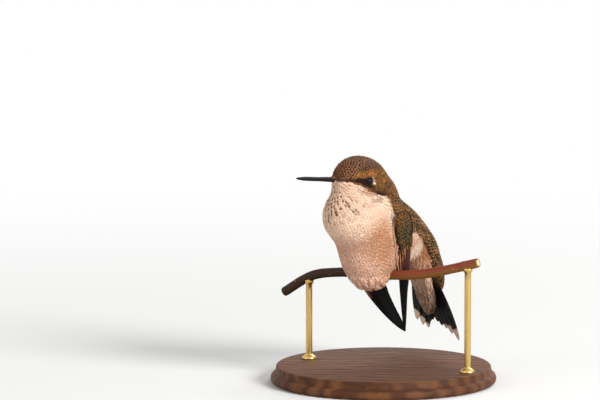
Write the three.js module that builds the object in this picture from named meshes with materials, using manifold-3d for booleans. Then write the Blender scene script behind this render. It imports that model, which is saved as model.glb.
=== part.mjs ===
// A life-size ruby-throated hummingbird on a short cut stem, which two rods hold over a flat round base.
// Millimetres, +Z up. The origin is the middle of the base's underside. The bird looks towards -X and -Y.
import * as THREE from "three";
import { mergeVertices } from "three/addons/utils/BufferGeometryUtils.js";
import Module from "manifold-3d";

const wasm = await Module();
wasm.setup();

// ---------------------------------------------------------------- driving dimensions
const DEG = Math.PI / 180;
const GAP = 0.3; // clearance between pieces that touch
const WIDE = 200; // longer than anything here, for half-space cuts

// The bird's stance. A turn is measured from -Y towards -X, a pitch from level upwards.
const BODY_TURN = 40 * DEG;
const HEAD_TURN = 62 * DEG;
const TRUNK_PITCH = 41 * DEG;
const TRUNK_AT = [-2.36, 0, 49.1]; // middle of the ribcage

// Plumage forms: [forward, left, up] from the middle of the ribcage, [along, across, deep] half sizes, pitch.
const HEAD_AT = [7, -0.47, 20];
const HEAD_PITCH = 9 * DEG;
const HEAD_FORMS = {
  skull: { at: [0.4, 0, -0.2], half: [8.5, 8.1, 8], pitch: -15 * DEG },
  forehead: { at: [4.6, 0, 2.1], half: [5.9, 5.1, 4.6], pitch: -31 * DEG },
  chin: { at: [4.3, 0, -3.4], half: [4.8, 4.4, 3.3], pitch: 25 * DEG },
};
const BODY_FORMS = {
  throat: { at: [12.1, 0, 10.9], half: [8.6, 8.5, 7.8], pitch: 0 },
  nape: { at: [1.6, 0, 13.8], half: [8.8, 7.9, 8.4], pitch: 50 * DEG },
  breast: { at: [11.9, 0, 7.1], half: [10.3, 10.7, 8.8], pitch: 30 * DEG },
  trunk: { at: [0, 0, 0], half: [16.7, 9.3, 11.7], pitch: TRUNK_PITCH },
  mantle: { at: [-9.2, 0, 2.8], half: [14, 8.7, 8.1], pitch: 44 * DEG },
  flank: { at: [8.2, 0, 0.3], half: [5.5, 9.3, 6.5], pitch: 0 },
  belly: { at: [6, 0, -6.7], half: [10.3, 8.3, 7.9], pitch: 59 * DEG },
  rump: { at: [-21.4, 0, -6.5], half: [13.2, 7.6, 5.8], pitch: 56 * DEG },
};
const BLEND = 1.42; // radius of the soft joins between forms
const HEART_AT = [0.94, 0, 2.83]; // every point of the coat can be seen from here
const COAT_AROUND = 36;
const COAT_ALONG = 28;

// Bill and eyes
const BILL_LENGTH = 15.3; // bare part
const BILL_ROOT = 2.08; // hidden part
const BILL_FROM_HEAD = [10.1, 0, -0.57];
const BILL_PITCH = 5 * DEG;
const BILL_HALF_DEPTH = [0.99, 0.85, 0.74, 0.72, 0.7, 0.4]; // even steps from base to tip
const BILL_FLATNESS = 1.1; // width over depth
const EYE_RADIUS = 1.79;
const EYE_AT = [1.6, 6.45, 0.47]; // from the head's middle; the right eye is its mirror image

// Tail: a fan of ten feathers, each list from the middle outwards; it is folded further on its right
const TAIL_ROOT = [-23.8, -1.3, -7.2];
const TAIL_DROP = 70 * DEG; // below level
const TAIL_ROLL = 20 * DEG; // its left edge sinks by this
const TAIL_LEFT = { side: 1, lengths: [26.6, 27.4, 28, 29.6, 31.9], angles: [3.5, 8, 13, 18, 23] };
const TAIL_RIGHT = { side: -1, lengths: [26.6, 27.6, 30.6, 30.6, 29.9], angles: [1.5, 3.5, 5.9, 10.3, 15.1] };
const TAIL_WIDTHS = [5.7, 5.9, 5.9, 5.7, 5.2];
const BLADE = 0.5; // thickness of a feather in these solids
const TAIL_STEP = 0.1; // one feather lies this far under the next
const TAIL_SPREAD = 0.7; // from one root to the next
const TAIL_BOW = 0.76;
const TAIL_COVERTS = [
  { along: 6.6, aside: 0, out: 4, half: [10.4, 4.9, 3.2] }, // above the tail
  { along: 9.9, aside: 1.4, out: -1.9, half: [12.4, 5.3, 2.3] }, // below it
  { along: 5.2, aside: -2.4, out: -1.7, half: [9, 4.4, 2.2] }, // and a shorter patch beside that
];

// Wings: where the bend and the tip are, in millimetres of the frame
const WING_LEFT = {
  side: 1,
  bend: [3.8, -8.9, 56.1],
  tip: [7.3, 8.1, 16.1],
  rear: [0.62, 0.74, 0.3], // the way from its front edge to its hind edge
  bow: 0.4, // its face stands out by this at mid length
  sweep: 0.28, // and its front edge bulges by this
  width: 3.5, // of each primary
  roots: 0.45, // each primary's root lies this far behind the one before
  tips: 0.22, // and its tip this far
};
const WING_RIGHT = {
  side: -1,
  bend: [-15.2, 5.3, 45.6],
  tip: [7.6, 14, 15.2],
  rear: [0.55, 0.55, 0.62],
  bow: 0.28,
  sweep: 1.5,
  width: 5.2,
  roots: 0.6,
  tips: 0.5,
};
const PRIMARY_TIPS = [1, 0.985, 0.94, 0.89, 0.835, 0.785, 0.74, 0.7, 0.665, 0.64]; // outermost first
const PRIMARY_STEP = 0.1; // each primary lies this far outside the one before
const PRIMARY_QUILL = 0.55; // width at the root over the full width
const PRIMARY_BLUNT = 0.14; // and at the tip
const COVERT_HALF = [9, 4.2, 1.05]; // the patch of coverts: along, across and through the wing
const COVERT_AT = [6.1, 3.4, 0.5]; // its middle, from the bend
const FEATHER_STEPS = 5;

// Neck: the slab of the coat between two planes across its axis
const NECK_AXIS = [0.25, 0, 0.97];
const NECK_BASE = [5.7, 0, 11.5];
const NECK_TOP = [6.6, 0, 15.5];

// Feet
const FOOT_SPACING = 2.83; // each side of where the body crosses the perch
const TOE_RADIUS = 0.42;
const TOE_APART = 1.09; // from one front toe to the next
const PAD_HALF = 0.62; // half the depth of the sole that joins them
const FRONT_TOES = [6 * DEG, 150 * DEG]; // round the perch, from its top
const HIND_TOE = [-6 * DEG, -140 * DEG];
const SHANK_RADIUS = 0.5;
const SHANK_TO = [-3.3, 0, 5.2]; // up into the plumage from the top of the toes

// Perch and stand
const PERCH_RADIUS = 1.6;
const TOE_RING = PERCH_RADIUS + GAP + TOE_RADIUS; // from the perch's middle line to a toe's
const PERCH_TURN = 28 * DEG; // its right end comes forward by this
const SEAT_STEP = [-0.66, 0, -1.04]; // the bed for the perch opens down and back by steps of this
const PERCH_CROSSES = [-2.36, 0]; // below the ribcage
const PERCH_HEIGHTS = [28.1, 34.4, 36.4, 36.7, 36.9, 38, 40.4, 43.3]; // even steps along X, left to right
const PERCH_REACH = [-33.5, 31.2];
const BASE_RADIUS = 38;
const BASE_HEIGHT = 6;
const BASE_BEAD = 3.4; // height of the round bead at the foot
const BASE_STEP = 1.8; // the disc above the bead is smaller by this
const BASE_EDGE = 0.6;
const ROD_RADIUS = 1.1;
const ROD_X = [-25, 27.8];

// ---------------------------------------------------------------- directions and placing
const UP = new THREE.Vector3(0, 0, 1);
const v3 = (a) => new THREE.Vector3(...a);

// A frame whose X looks forward, Y to the left and Z to the back, turned and pitched.
function stance(turn, pitch = 0) {
  const level = new THREE.Vector3(-Math.sin(turn), -Math.cos(turn), 0);
  const left = new THREE.Vector3().crossVectors(UP, level);
  const forward = level.clone().multiplyScalar(Math.cos(pitch)).addScaledVector(UP, Math.sin(pitch));
  const back = new THREE.Vector3().crossVectors(forward, left);
  return new THREE.Matrix4().makeBasis(forward, left, back);
}

const BODY_FRAME = stance(BODY_TURN).setPosition(v3(TRUNK_AT));
const fromBody = (at) => v3(at).applyMatrix4(BODY_FRAME);
const bodyWay = (way) => v3(way).transformDirection(BODY_FRAME).multiplyScalar(v3(way).length());
const HEAD_FRAME = stance(HEAD_TURN, HEAD_PITCH).setPosition(fromBody(HEAD_AT));
const fromHead = (at) => v3(at).applyMatrix4(HEAD_FRAME);

// The turn that lays a cylinder's own axis, Y, along a direction.
const turnTo = (way) => new THREE.Quaternion().setFromUnitVectors(new THREE.Vector3(0, 1, 0), way);

// ---------------------------------------------------------------- solids
function solidOf(geometry) {
  const bare = geometry.index ? geometry.toNonIndexed() : geometry.clone();
  bare.deleteAttribute("normal");
  bare.deleteAttribute("uv");
  const merged = mergeVertices(bare, 1e-4);
  return new wasm.Manifold(
    new wasm.Mesh({
      numProp: 3,
      vertProperties: new Float32Array(merged.attributes.position.array),
      triVerts: new Uint32Array(merged.index.array),
    }),
  );
}

function geometryOf(solid) {
  const mesh = solid.getMesh();
  const geometry = new THREE.BufferGeometry();
  const positions = new Float32Array(mesh.numVert * 3);
  for (let i = 0; i < mesh.numVert; i++) {
    positions.set(mesh.vertProperties.subarray(i * mesh.numProp, i * mesh.numProp + 3), i * 3);
  }
  geometry.setAttribute("position", new THREE.BufferAttribute(positions, 3));
  geometry.setIndex(new THREE.BufferAttribute(mesh.triVerts, 1));
  geometry.computeVertexNormals();
  return geometry;
}

const union = (solids) => solids.reduce((all, next) => all.add(next));

// The largest body of a solid, for a cut that leaves crumbs.
function largest(solid) {
  return solid.decompose().sort((a, b) => b.volume() - a.volume())[0];
}

// The half of space on the side of a plane that its normal points to.
function halfSpace(point, normal, offset) {
  const box = new THREE.BoxGeometry(WIDE, WIDE, WIDE).translate(0, 0, WIDE / 2 + offset);
  const turn = new THREE.Quaternion().setFromUnitVectors(UP, normal.clone().normalize());
  box.applyQuaternion(turn).translate(point.x, point.y, point.z);
  return solidOf(box);
}

// ---------------------------------------------------------------- the plumage's outer shape
function ellipsoid(centre, half, turn, pitch) {
  const inverse = stance(turn, pitch).setPosition(centre).invert();
  return { inverse, half: v3(half) };
}

const FORMS = [
  ...Object.values(HEAD_FORMS).map((f) =>
    ellipsoid(fromHead(f.at), f.half, HEAD_TURN, HEAD_PITCH + f.pitch),
  ),
  ...Object.values(BODY_FORMS).map((f) => ellipsoid(fromBody(f.at), f.half, BODY_TURN, f.pitch)),
];

function formDistance(form, point) {
  const local = point.clone().applyMatrix4(form.inverse);
  const scaled = local.clone().divide(form.half);
  const steep = scaled.clone().divide(form.half);
  const reach = scaled.length();
  return (reach * (reach - 1)) / Math.max(steep.length(), 1e-9);
}

// Distance to the plumage's surface: the forms' distances, softly joined.
function coatDistance(point) {
  const sum = FORMS.reduce((total, form) => total + Math.exp(-formDistance(form, point) / BLEND), 0);
  return -BLEND * Math.log(sum);
}

// The first point of the coat, grown by a margin, met by a ray that comes in along a direction.
function coatPoint(centre, direction, margin) {
  let reach = 60;
  for (let step = 0; step < 60; step++) {
    const distance = coatDistance(centre.clone().addScaledVector(direction, reach)) - margin;
    if (Math.abs(distance) < 1e-3) break;
    reach -= distance * 0.8;
  }
  return centre.clone().addScaledVector(direction, reach);
}

// A sphere whose points move out to the coat; its poles look towards the bill and the tail.
function coatSolid(margin) {
  const sphere = new THREE.SphereGeometry(1, COAT_AROUND, COAT_ALONG);
  const toPole = new THREE.Quaternion().setFromUnitVectors(
    new THREE.Vector3(0, 1, 0),
    fromHead([9, 0, 1]).sub(fromBody(BODY_FORMS.rump.at)).normalize(),
  );
  const centre = fromBody(HEART_AT);
  const positions = sphere.attributes.position;
  const direction = new THREE.Vector3();
  for (let i = 0; i < positions.count; i++) {
    direction.fromBufferAttribute(positions, i).applyQuaternion(toPole);
    positions.setXYZ(i, ...coatPoint(centre, direction.normalize(), margin));
  }
  return solidOf(sphere);
}

// ---------------------------------------------------------------- bill and eyes
const BILL_FRAME = stance(HEAD_TURN, BILL_PITCH).setPosition(fromHead(BILL_FROM_HEAD));

function billSolid(margin) {
  const steps = BILL_HALF_DEPTH.length - 1;
  const tip = BILL_LENGTH + margin;
  const profile = [new THREE.Vector2(0, -BILL_ROOT - margin)];
  profile.push(new THREE.Vector2(BILL_HALF_DEPTH[0] + margin, -BILL_ROOT - margin));
  BILL_HALF_DEPTH.forEach((depth, i) => {
    profile.push(new THREE.Vector2(depth + margin, (BILL_LENGTH * 0.97 * i) / steps));
  });
  profile.push(new THREE.Vector2(0, tip));
  const lathe = new THREE.LatheGeometry(profile, 12);
  lathe.rotateZ(-Math.PI / 2).scale(1, BILL_FLATNESS, 1).applyMatrix4(BILL_FRAME);
  return solidOf(lathe);
}

function eyeSolid(side, margin) {
  const [forward, out, up] = EYE_AT;
  const sphere = new THREE.SphereGeometry(EYE_RADIUS + margin, 12, 8);
  const at = fromHead([forward, side * out, up]);
  return solidOf(sphere.translate(at.x, at.y, at.z));
}

// ---------------------------------------------------------------- feathers
// A feather runs from root to tip, and bows on its way: its edge along `rear`, its face to the side.
// `outline` gives its width by share of its length, as a fraction of the whole width.
function feather({ root, tip, rear, sweep = 0, bow = 0, width, outline }) {
  const box = new THREE.BoxGeometry(1, 1, 1, 1, FEATHER_STEPS, 1);
  const face = new THREE.Vector3().crossVectors(rear, tip.clone().sub(root)).normalize();
  const positions = box.attributes.position;
  for (let i = 0; i < positions.count; i++) {
    const share = positions.getY(i) + 0.5;
    const arch = 4 * share * (1 - share);
    const point = root.clone().lerp(tip, share);
    point.addScaledVector(rear, positions.getX(i) * width * outline(share) + sweep * arch);
    point.addScaledVector(face, positions.getZ(i) * BLADE + bow * arch);
    positions.setXYZ(i, ...point);
  }
  return solidOf(box);
}

// Narrow at the root, fullest at `full`, then rounded off to a tip of `blunt` of the width.
const leaf = (full, blunt, narrow) => (share) => {
  if (share < full) return THREE.MathUtils.lerp(narrow, 1, Math.sin((share / full) * Math.PI * 0.5));
  const past = (share - full) / (1 - full);
  return Math.max(Math.sqrt(1 - past * past), blunt);
};

// ---------------------------------------------------------------- tail
const TAIL_DOWN = bodyWay([-Math.cos(TAIL_DROP), 0, -Math.sin(TAIL_DROP)]);
const TAIL_SIDE = bodyWay([0, 1, 0]).applyAxisAngle(TAIL_DOWN, TAIL_ROLL);
const TAIL_BACK = new THREE.Vector3().crossVectors(TAIL_DOWN, TAIL_SIDE).negate();

function tailFeather({ side, lengths, angles }, rank) {
  const angle = side * angles[rank] * DEG;
  const along = TAIL_DOWN.clone().multiplyScalar(Math.cos(angle)).addScaledVector(TAIL_SIDE, Math.sin(angle));
  const across = new THREE.Vector3().crossVectors(TAIL_BACK, along).negate();
  const under = -rank * TAIL_STEP * 2 - (side < 0 ? TAIL_STEP : 0);
  const root = fromBody(TAIL_ROOT).addScaledVector(TAIL_BACK, under);
  root.addScaledVector(TAIL_SIDE, side * TAIL_SPREAD * (rank + 0.5));
  const tip = root.clone().addScaledVector(along, lengths[rank]);
  return feather({
    root,
    tip,
    rear: across,
    bow: TAIL_BOW,
    width: TAIL_WIDTHS[rank],
    outline: leaf(0.66, 0.2, 0.3),
  });
}

// The soft coverts that hide the roots of the tail, above and below it.
function covertSolid({ along, aside, out, half }) {
  const frame = new THREE.Matrix4().makeBasis(TAIL_DOWN, TAIL_SIDE, TAIL_BACK.clone().negate());
  const at = fromBody(TAIL_ROOT).addScaledVector(TAIL_DOWN, along).addScaledVector(TAIL_BACK, out);
  frame.setPosition(at.addScaledVector(TAIL_SIDE, aside));
  return solidOf(new THREE.SphereGeometry(1, 11, 7).scale(...half).applyMatrix4(frame));
}

function tailSolid() {
  const ranks = TAIL_WIDTHS.map((_, rank) => rank);
  const feathers = [TAIL_LEFT, TAIL_RIGHT].flatMap((half) => ranks.map((rank) => tailFeather(half, rank)));
  return union([...feathers, ...TAIL_COVERTS.map(covertSolid)]);
}

// ---------------------------------------------------------------- wings
function primaryOutline(share) {
  const root = Math.min(1, PRIMARY_QUILL + share * 2);
  return root * Math.max(Math.sqrt(1 - share ** 3), PRIMARY_BLUNT);
}

// Ten primaries from the bend to their tips, and a patch of coverts over their roots.
function wingSolid({ bend, tip, rear, bow, sweep, side, width, roots, tips }) {
  const from = v3(bend);
  const along = v3(tip).sub(from);
  const reach = along.length();
  along.normalize();
  const back = v3(rear).addScaledVector(along, -v3(rear).dot(along)).normalize();
  const outward = new THREE.Vector3().crossVectors(along, back).multiplyScalar(side);
  const primaries = PRIMARY_TIPS.map((share, k) => {
    const root = from.clone().addScaledVector(back, width * 0.4 + k * roots);
    root.addScaledVector(outward, k * PRIMARY_STEP);
    const end = from.clone().addScaledVector(along, reach * share);
    end.addScaledVector(back, k * tips).addScaledVector(outward, k * PRIMARY_STEP);
    return feather({
      root,
      tip: end,
      rear: back,
      sweep: -sweep,
      bow: -bow * side,
      width,
      outline: primaryOutline,
    });
  });
  const patch = new THREE.SphereGeometry(1, 12, 8).scale(...COVERT_HALF);
  const facing = new THREE.Matrix4().makeBasis(along, back, outward.clone().multiplyScalar(side));
  const middle = from.clone().addScaledVector(along, COVERT_AT[0]).addScaledVector(back, COVERT_AT[1]);
  patch.applyMatrix4(facing.setPosition(middle.addScaledVector(outward, COVERT_AT[2])));
  return union([...primaries, solidOf(patch)]);
}

// ---------------------------------------------------------------- perch
function perchPoint(share) {
  const [low, high] = PERCH_REACH;
  const x = low + (high - low) * share;
  const y = PERCH_CROSSES[1] - (x - PERCH_CROSSES[0]) * Math.tan(PERCH_TURN);
  const at = share * (PERCH_HEIGHTS.length - 1);
  const i = Math.min(Math.floor(at), PERCH_HEIGHTS.length - 2);
  const z = THREE.MathUtils.lerp(PERCH_HEIGHTS[i], PERCH_HEIGHTS[i + 1], at - i);
  return new THREE.Vector3(x, y, z);
}

const PERCH_LINE = new THREE.CatmullRomCurve3(
  PERCH_HEIGHTS.map((_, i) => perchPoint(i / (PERCH_HEIGHTS.length - 1))),
);

function perchSolid(margin, sides = 10, steps = 18) {
  const round = new THREE.Shape().absarc(0, 0, PERCH_RADIUS + margin, 0, 2 * Math.PI);
  const section = new THREE.Shape(round.getSpacedPoints(sides).slice(0, sides));
  return solidOf(
    new THREE.ExtrudeGeometry(section, { steps, extrudePath: PERCH_LINE, bevelEnabled: false }),
  );
}

// ---------------------------------------------------------------- feet
// The share of the perch's length at which it passes a given X.
function perchPlace(x) {
  let [low, high] = [0, 1];
  for (let step = 0; step < 30; step++) {
    const middle = (low + high) / 2;
    if (PERCH_LINE.getPointAt(middle).x < x) low = middle;
    else high = middle;
  }
  return low;
}

// The point at an angle round the perch, measured from its top towards the bird's front.
function roundPerch(x, angle, radius) {
  const place = perchPlace(x);
  const axis = PERCH_LINE.getTangentAt(place);
  const upright = UP.clone().addScaledVector(axis, -UP.dot(axis)).normalize();
  const ahead = new THREE.Vector3().crossVectors(upright, axis);
  const out = upright.multiplyScalar(Math.cos(angle)).addScaledVector(ahead, Math.sin(angle));
  return { point: PERCH_LINE.getPointAt(place).addScaledVector(out, radius), out, axis };
}

// A toe is a thin rod bent round the perch from one angle to another.
function toeSolid(x, [from, to]) {
  const rod = new THREE.CylinderGeometry(TOE_RADIUS, TOE_RADIUS, 1, 5, 4);
  const positions = rod.attributes.position;
  const flip = Math.sign(from - to);
  for (let i = 0; i < positions.count; i++) {
    const angle = THREE.MathUtils.lerp(from, to, positions.getY(i) + 0.5);
    const { point, out, axis } = roundPerch(x, angle, TOE_RING);
    point.addScaledVector(out, positions.getX(i)).addScaledVector(axis, flip * positions.getZ(i));
    positions.setXYZ(i, ...point);
  }
  return solidOf(rod);
}

function footSolid(x) {
  const top = roundPerch(x, 0, TOE_RING).point;
  const path = new THREE.LineCurve3(top, bodyWay(SHANK_TO).add(top));
  const shank = new THREE.CylinderGeometry(SHANK_RADIUS, SHANK_RADIUS, path.getLength(), 6);
  shank.applyQuaternion(turnTo(path.getTangent(0))).translate(...path.getPoint(0.5));
  const pad = new THREE.SphereGeometry(1, 8, 6).scale(PAD_HALF, TOE_APART + TOE_RADIUS, PAD_HALF);
  pad.applyQuaternion(turnTo(PERCH_LINE.getTangentAt(perchPlace(x)))).translate(...top);
  const front = [-1, 0, 1].map((k) => toeSolid(x + k * TOE_APART, FRONT_TOES));
  return union([solidOf(shank), solidOf(pad), toeSolid(x, HIND_TOE), ...front]);
}

// Room in the plumage for a foot: a hollow round the toes and a bore for the shank.
function footRoom(x) {
  const top = roundPerch(x, 0, TOE_RING).point;
  const path = new THREE.LineCurve3(top, bodyWay(SHANK_TO).add(top));
  const radius = SHANK_RADIUS + GAP;
  const bore = new THREE.CylinderGeometry(radius, radius, path.getLength() + 2 * GAP, 6);
  bore.applyQuaternion(turnTo(path.getTangent(0))).translate(...path.getPoint(0.5));
  const reach = TOE_RING + TOE_RADIUS + GAP;
  const hollow = new THREE.CylinderGeometry(reach, reach, 2 * (TOE_APART + TOE_RADIUS + GAP), 12);
  const { point, axis } = roundPerch(x, 0, 0);
  hollow.applyQuaternion(turnTo(axis)).translate(...point);
  return solidOf(bore).add(solidOf(hollow));
}

// ---------------------------------------------------------------- stand
function baseSolid() {
  const disc = BASE_RADIUS - BASE_STEP;
  const profile = [
    [0, 0],
    [BASE_RADIUS - BASE_BEAD * 0.3, 0],
    [BASE_RADIUS, BASE_BEAD * 0.3],
    [BASE_RADIUS, BASE_BEAD * 0.7],
    [BASE_RADIUS - BASE_BEAD * 0.3, BASE_BEAD],
    [disc, BASE_BEAD],
    [disc, BASE_HEIGHT - BASE_EDGE],
    [disc - BASE_EDGE, BASE_HEIGHT],
    [0, BASE_HEIGHT],
  ].map(([r, h]) => new THREE.Vector2(r, h));
  return solidOf(new THREE.LatheGeometry(profile, 36).rotateX(Math.PI / 2));
}

function rodSolid(x) {
  const [low, high] = PERCH_REACH;
  const top = perchPoint((x - low) / (high - low));
  const height = top.z - BASE_HEIGHT - GAP;
  const rod = new THREE.CylinderGeometry(ROD_RADIUS, ROD_RADIUS, height, 12).rotateX(Math.PI / 2);
  rod.translate(top.x, top.y, BASE_HEIGHT + GAP + height / 2);
  return largest(solidOf(rod).subtract(perchSolid(GAP)));
}

// ---------------------------------------------------------------- the scene graph
const bird = new THREE.Group();

function addMesh(name, solid, color, roughness = 0.8, metalness = 0) {
  const mesh = new THREE.Mesh(
    geometryOf(solid),
    new THREE.MeshStandardMaterial({ color, roughness, metalness }),
  );
  mesh.name = name;
  bird.add(mesh);
}

const FOOT_X = { left: PERCH_CROSSES[0] + FOOT_SPACING, right: PERCH_CROSSES[0] - FOOT_SPACING };
const seatStep = bodyWay(SEAT_STEP);
const seat = union([0, 1, 2].map((k) => perchSolid(GAP).translate(...seatStep.clone().multiplyScalar(k))));
const room = union([
  seat,
  billSolid(GAP),
  eyeSolid(1, GAP),
  eyeSolid(-1, GAP),
  footRoom(FOOT_X.left),
  footRoom(FOOT_X.right),
]);
const grown = coatSolid(GAP);
const coat = largest(coatSolid(0).subtract(room));

// The coat is parted across the neck, with half of the gap on each side of a plane.
const neckAxis = bodyWay(NECK_AXIS);
const above = (at) => halfSpace(fromBody(at), neckAxis, GAP / 2);
const below = (at) => halfSpace(fromBody(at), neckAxis.clone().negate(), GAP / 2);

addMesh("head", coat.intersect(above(NECK_TOP)), 0x8a8258);
addMesh("neck", coat.intersect(below(NECK_TOP)).intersect(above(NECK_BASE)), 0xd9cdb4);
addMesh("trunk", largest(coat.intersect(below(NECK_BASE))), 0xd9c3ae);
addMesh("bill", billSolid(0), 0x1a1716, 0.4);
addMesh("eye_left", eyeSolid(1, 0), 0x0c0a0a, 0.05);
addMesh("eye_right", eyeSolid(-1, 0), 0x0c0a0a, 0.05);
addMesh("tail", largest(tailSolid().subtract(grown)), 0x2a2826);
addMesh("wing_left", largest(wingSolid(WING_LEFT).subtract(grown)), 0x403830);
addMesh("wing_right", largest(wingSolid(WING_RIGHT).subtract(grown)), 0x403830);
addMesh("foot_left", footSolid(FOOT_X.left), 0x2a2420, 0.7);
addMesh("foot_right", footSolid(FOOT_X.right), 0x2a2420, 0.7);
addMesh("perch", perchSolid(0), 0x8f4a3a, 0.6);
addMesh("stand_base", baseSolid(), 0x5a3b26, 0.5);
addMesh("stand_rod_left", rodSolid(ROD_X[0]), 0xb09050, 0.3, 0.9);
addMesh("stand_rod_right", rodSolid(ROD_X[1]), 0xb09050, 0.3, 0.9);

export default bird;
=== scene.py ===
# %% [markdown]
# # A perched hummingbird, feather by feather
# This lesson dresses a life-size museum model of a young male ruby-throated hummingbird.
# A CAD model already holds its true sizes: head, neck and trunk, bill, eyes, wings, tail, feet,
# the cut stem and a small stand. It arrives as a fixed frame. Every piece made here lies in the
# same place as its CAD solid, so nothing has to be fitted afterwards.

# %% Load the frame
import math

import bpy
import numpy as np
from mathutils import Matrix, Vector
from mathutils.kdtree import KDTree


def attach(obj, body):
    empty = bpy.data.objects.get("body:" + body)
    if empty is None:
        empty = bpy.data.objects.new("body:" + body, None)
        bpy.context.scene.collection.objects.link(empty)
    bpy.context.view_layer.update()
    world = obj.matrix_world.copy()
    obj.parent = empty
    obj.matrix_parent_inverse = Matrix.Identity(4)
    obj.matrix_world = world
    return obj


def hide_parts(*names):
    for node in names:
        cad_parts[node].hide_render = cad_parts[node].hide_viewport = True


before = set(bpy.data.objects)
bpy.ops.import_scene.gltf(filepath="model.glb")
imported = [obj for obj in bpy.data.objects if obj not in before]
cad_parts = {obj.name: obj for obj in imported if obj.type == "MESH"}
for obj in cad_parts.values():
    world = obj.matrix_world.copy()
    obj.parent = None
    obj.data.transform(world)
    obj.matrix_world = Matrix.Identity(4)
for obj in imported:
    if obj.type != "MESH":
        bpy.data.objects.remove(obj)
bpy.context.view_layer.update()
print("CAD nodes:", ", ".join(sorted(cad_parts)))

# %% [markdown]
# Blender works in metres, but a bird this small is easier to think about in millimetres. All
# shapes below are worked out in millimetres with numpy, and one factor turns them into metres
# when a mesh is made. A few small functions for directions and soft steps serve everything.

# %% Sizes, directions and soft steps
MM = 0.001
UP = np.array([0.0, 0.0, 1.0])


def unit(ways):
    """Directions of length one."""
    return ways / np.maximum(np.linalg.norm(ways, axis=-1, keepdims=True), 1e-12)


def length(ways):
    return np.linalg.norm(ways, axis=-1)


def blend(one, other, share):
    return one + (other - one) * share


def soft_step(low, high, value):
    """0 below low, 1 above high, and a smooth ramp between."""
    ramp = np.clip((value - low) / (high - low), 0.0, 1.0)
    return ramp * ramp * (3 - 2 * ramp)


def flatten(ways, normals):
    """The part of each direction that lies along the surface."""
    return unit(ways - normals * np.sum(ways * normals, axis=-1, keepdims=True))


def column(values):
    return np.asarray(values)[..., None]


def together(*parts):
    """Coordinates of a whole mesh, from parts that may have fewer dimensions than it."""
    return np.stack(np.broadcast_arrays(*parts), axis=-1)


def shares(count):
    """Even steps from 0 to 1."""
    return np.linspace(0, 1, count)


def circle(around):
    """Even angles all round."""
    return np.linspace(0, 2 * np.pi, around, endpoint=False)


# %% [markdown]
# Paint is named the way a colourist reads a chart, as red, green and blue out of 255. Shaders
# count light in a linear way, so each paint is turned into linear numbers once, here.

# %% Paints
def paint(red, green, blue):
    chart = np.array([red, green, blue]) / 255
    return np.where(chart <= 0.04045, chart / 12.92, ((chart + 0.055) / 1.055) ** 2.4)


CREAM = paint(250, 213, 186)
BLUSH = paint(230, 182, 156)
PEACH = paint(214, 160, 126)
SAND = paint(200, 138, 94)
TAWNY = paint(162, 100, 54)
RUFOUS = paint(184, 112, 64)
MAUVE = paint(128, 80, 60)
DUSK = paint(54, 32, 20)
SOOT = paint(28, 17, 12)
INK = paint(9, 7, 7)
MAROON = paint(68, 34, 27)
OLIVE = paint(96, 84, 34)
BRONZE = paint(66, 70, 28)
GOLD = paint(168, 114, 46)
# pale pink: the crown's feather rims, and the painted highlight lines on some primaries
BUFF_EDGE = paint(204, 138, 80)
PINK_EDGE_AND_HIGHLIGHT = paint(198, 144, 108)
GARNET = paint(128, 34, 28)
MILK = paint(250, 222, 196)
ASH = paint(112, 94, 74)

# %% [markdown]
# The bird's stance comes first: its body faces one way and its head is turned further to its
# right and tipped up a little. A stance is a small frame of three directions: forward, to the
# left and up. Places on the bird are given in the body's or the head's frame, so the same
# numbers would serve a bird that looked another way.

# %% The bird's stance
DEG = math.pi / 180
BODY_TURN, HEAD_TURN, HEAD_PITCH = 40 * DEG, 62 * DEG, 9 * DEG
TRUNK_AT = np.array([-2.36, 0.0, 49.1])
HEAD_AT = (7.0, -0.47, 20.0)


def stance(turn, pitch=0.0):
    level = np.array([-math.sin(turn), -math.cos(turn), 0.0])
    left = np.cross(UP, level)
    forward = level * math.cos(pitch) + UP * math.sin(pitch)
    return np.stack([forward, left, np.cross(forward, left)], axis=1)


BODY_WAYS = stance(BODY_TURN)
HEAD_WAYS = stance(HEAD_TURN, HEAD_PITCH)


def from_body(at):
    return TRUNK_AT + np.asarray(at, float) @ BODY_WAYS.T


HEAD_MIDDLE = from_body(HEAD_AT)


def from_head(at):
    return HEAD_MIDDLE + np.asarray(at, float) @ HEAD_WAYS.T


def in_body(points):
    return (points - TRUNK_AT) @ BODY_WAYS


def in_head(points):
    return (points - HEAD_MIDDLE) @ HEAD_WAYS


BILL_FROM_HEAD = (10.1, 0.0, -0.57)
BILL_BASE = from_head(BILL_FROM_HEAD)
EYE_RADIUS = 1.79
EYE_AT = (1.6, 6.45, 0.47)
SIDES = {"left": 1, "right": -1}
EYES = {side: from_head(np.array(EYE_AT) * (1, out, 1)) for side, out in SIDES.items()}
print("head middle", HEAD_MIDDLE.round(1), "bill base", BILL_BASE.round(1))

# %% [markdown]
# Under its feathers a bird is a chain of rounded forms: skull, throat, breast, belly, rump.
# Sculpting could make them, but a formula is easier to grow feathers on, because it tells how
# far any point is from the plumage's surface and which way is out. Each form is an ellipsoid,
# and the distances are joined softly, which rounds the valleys between them.

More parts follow.
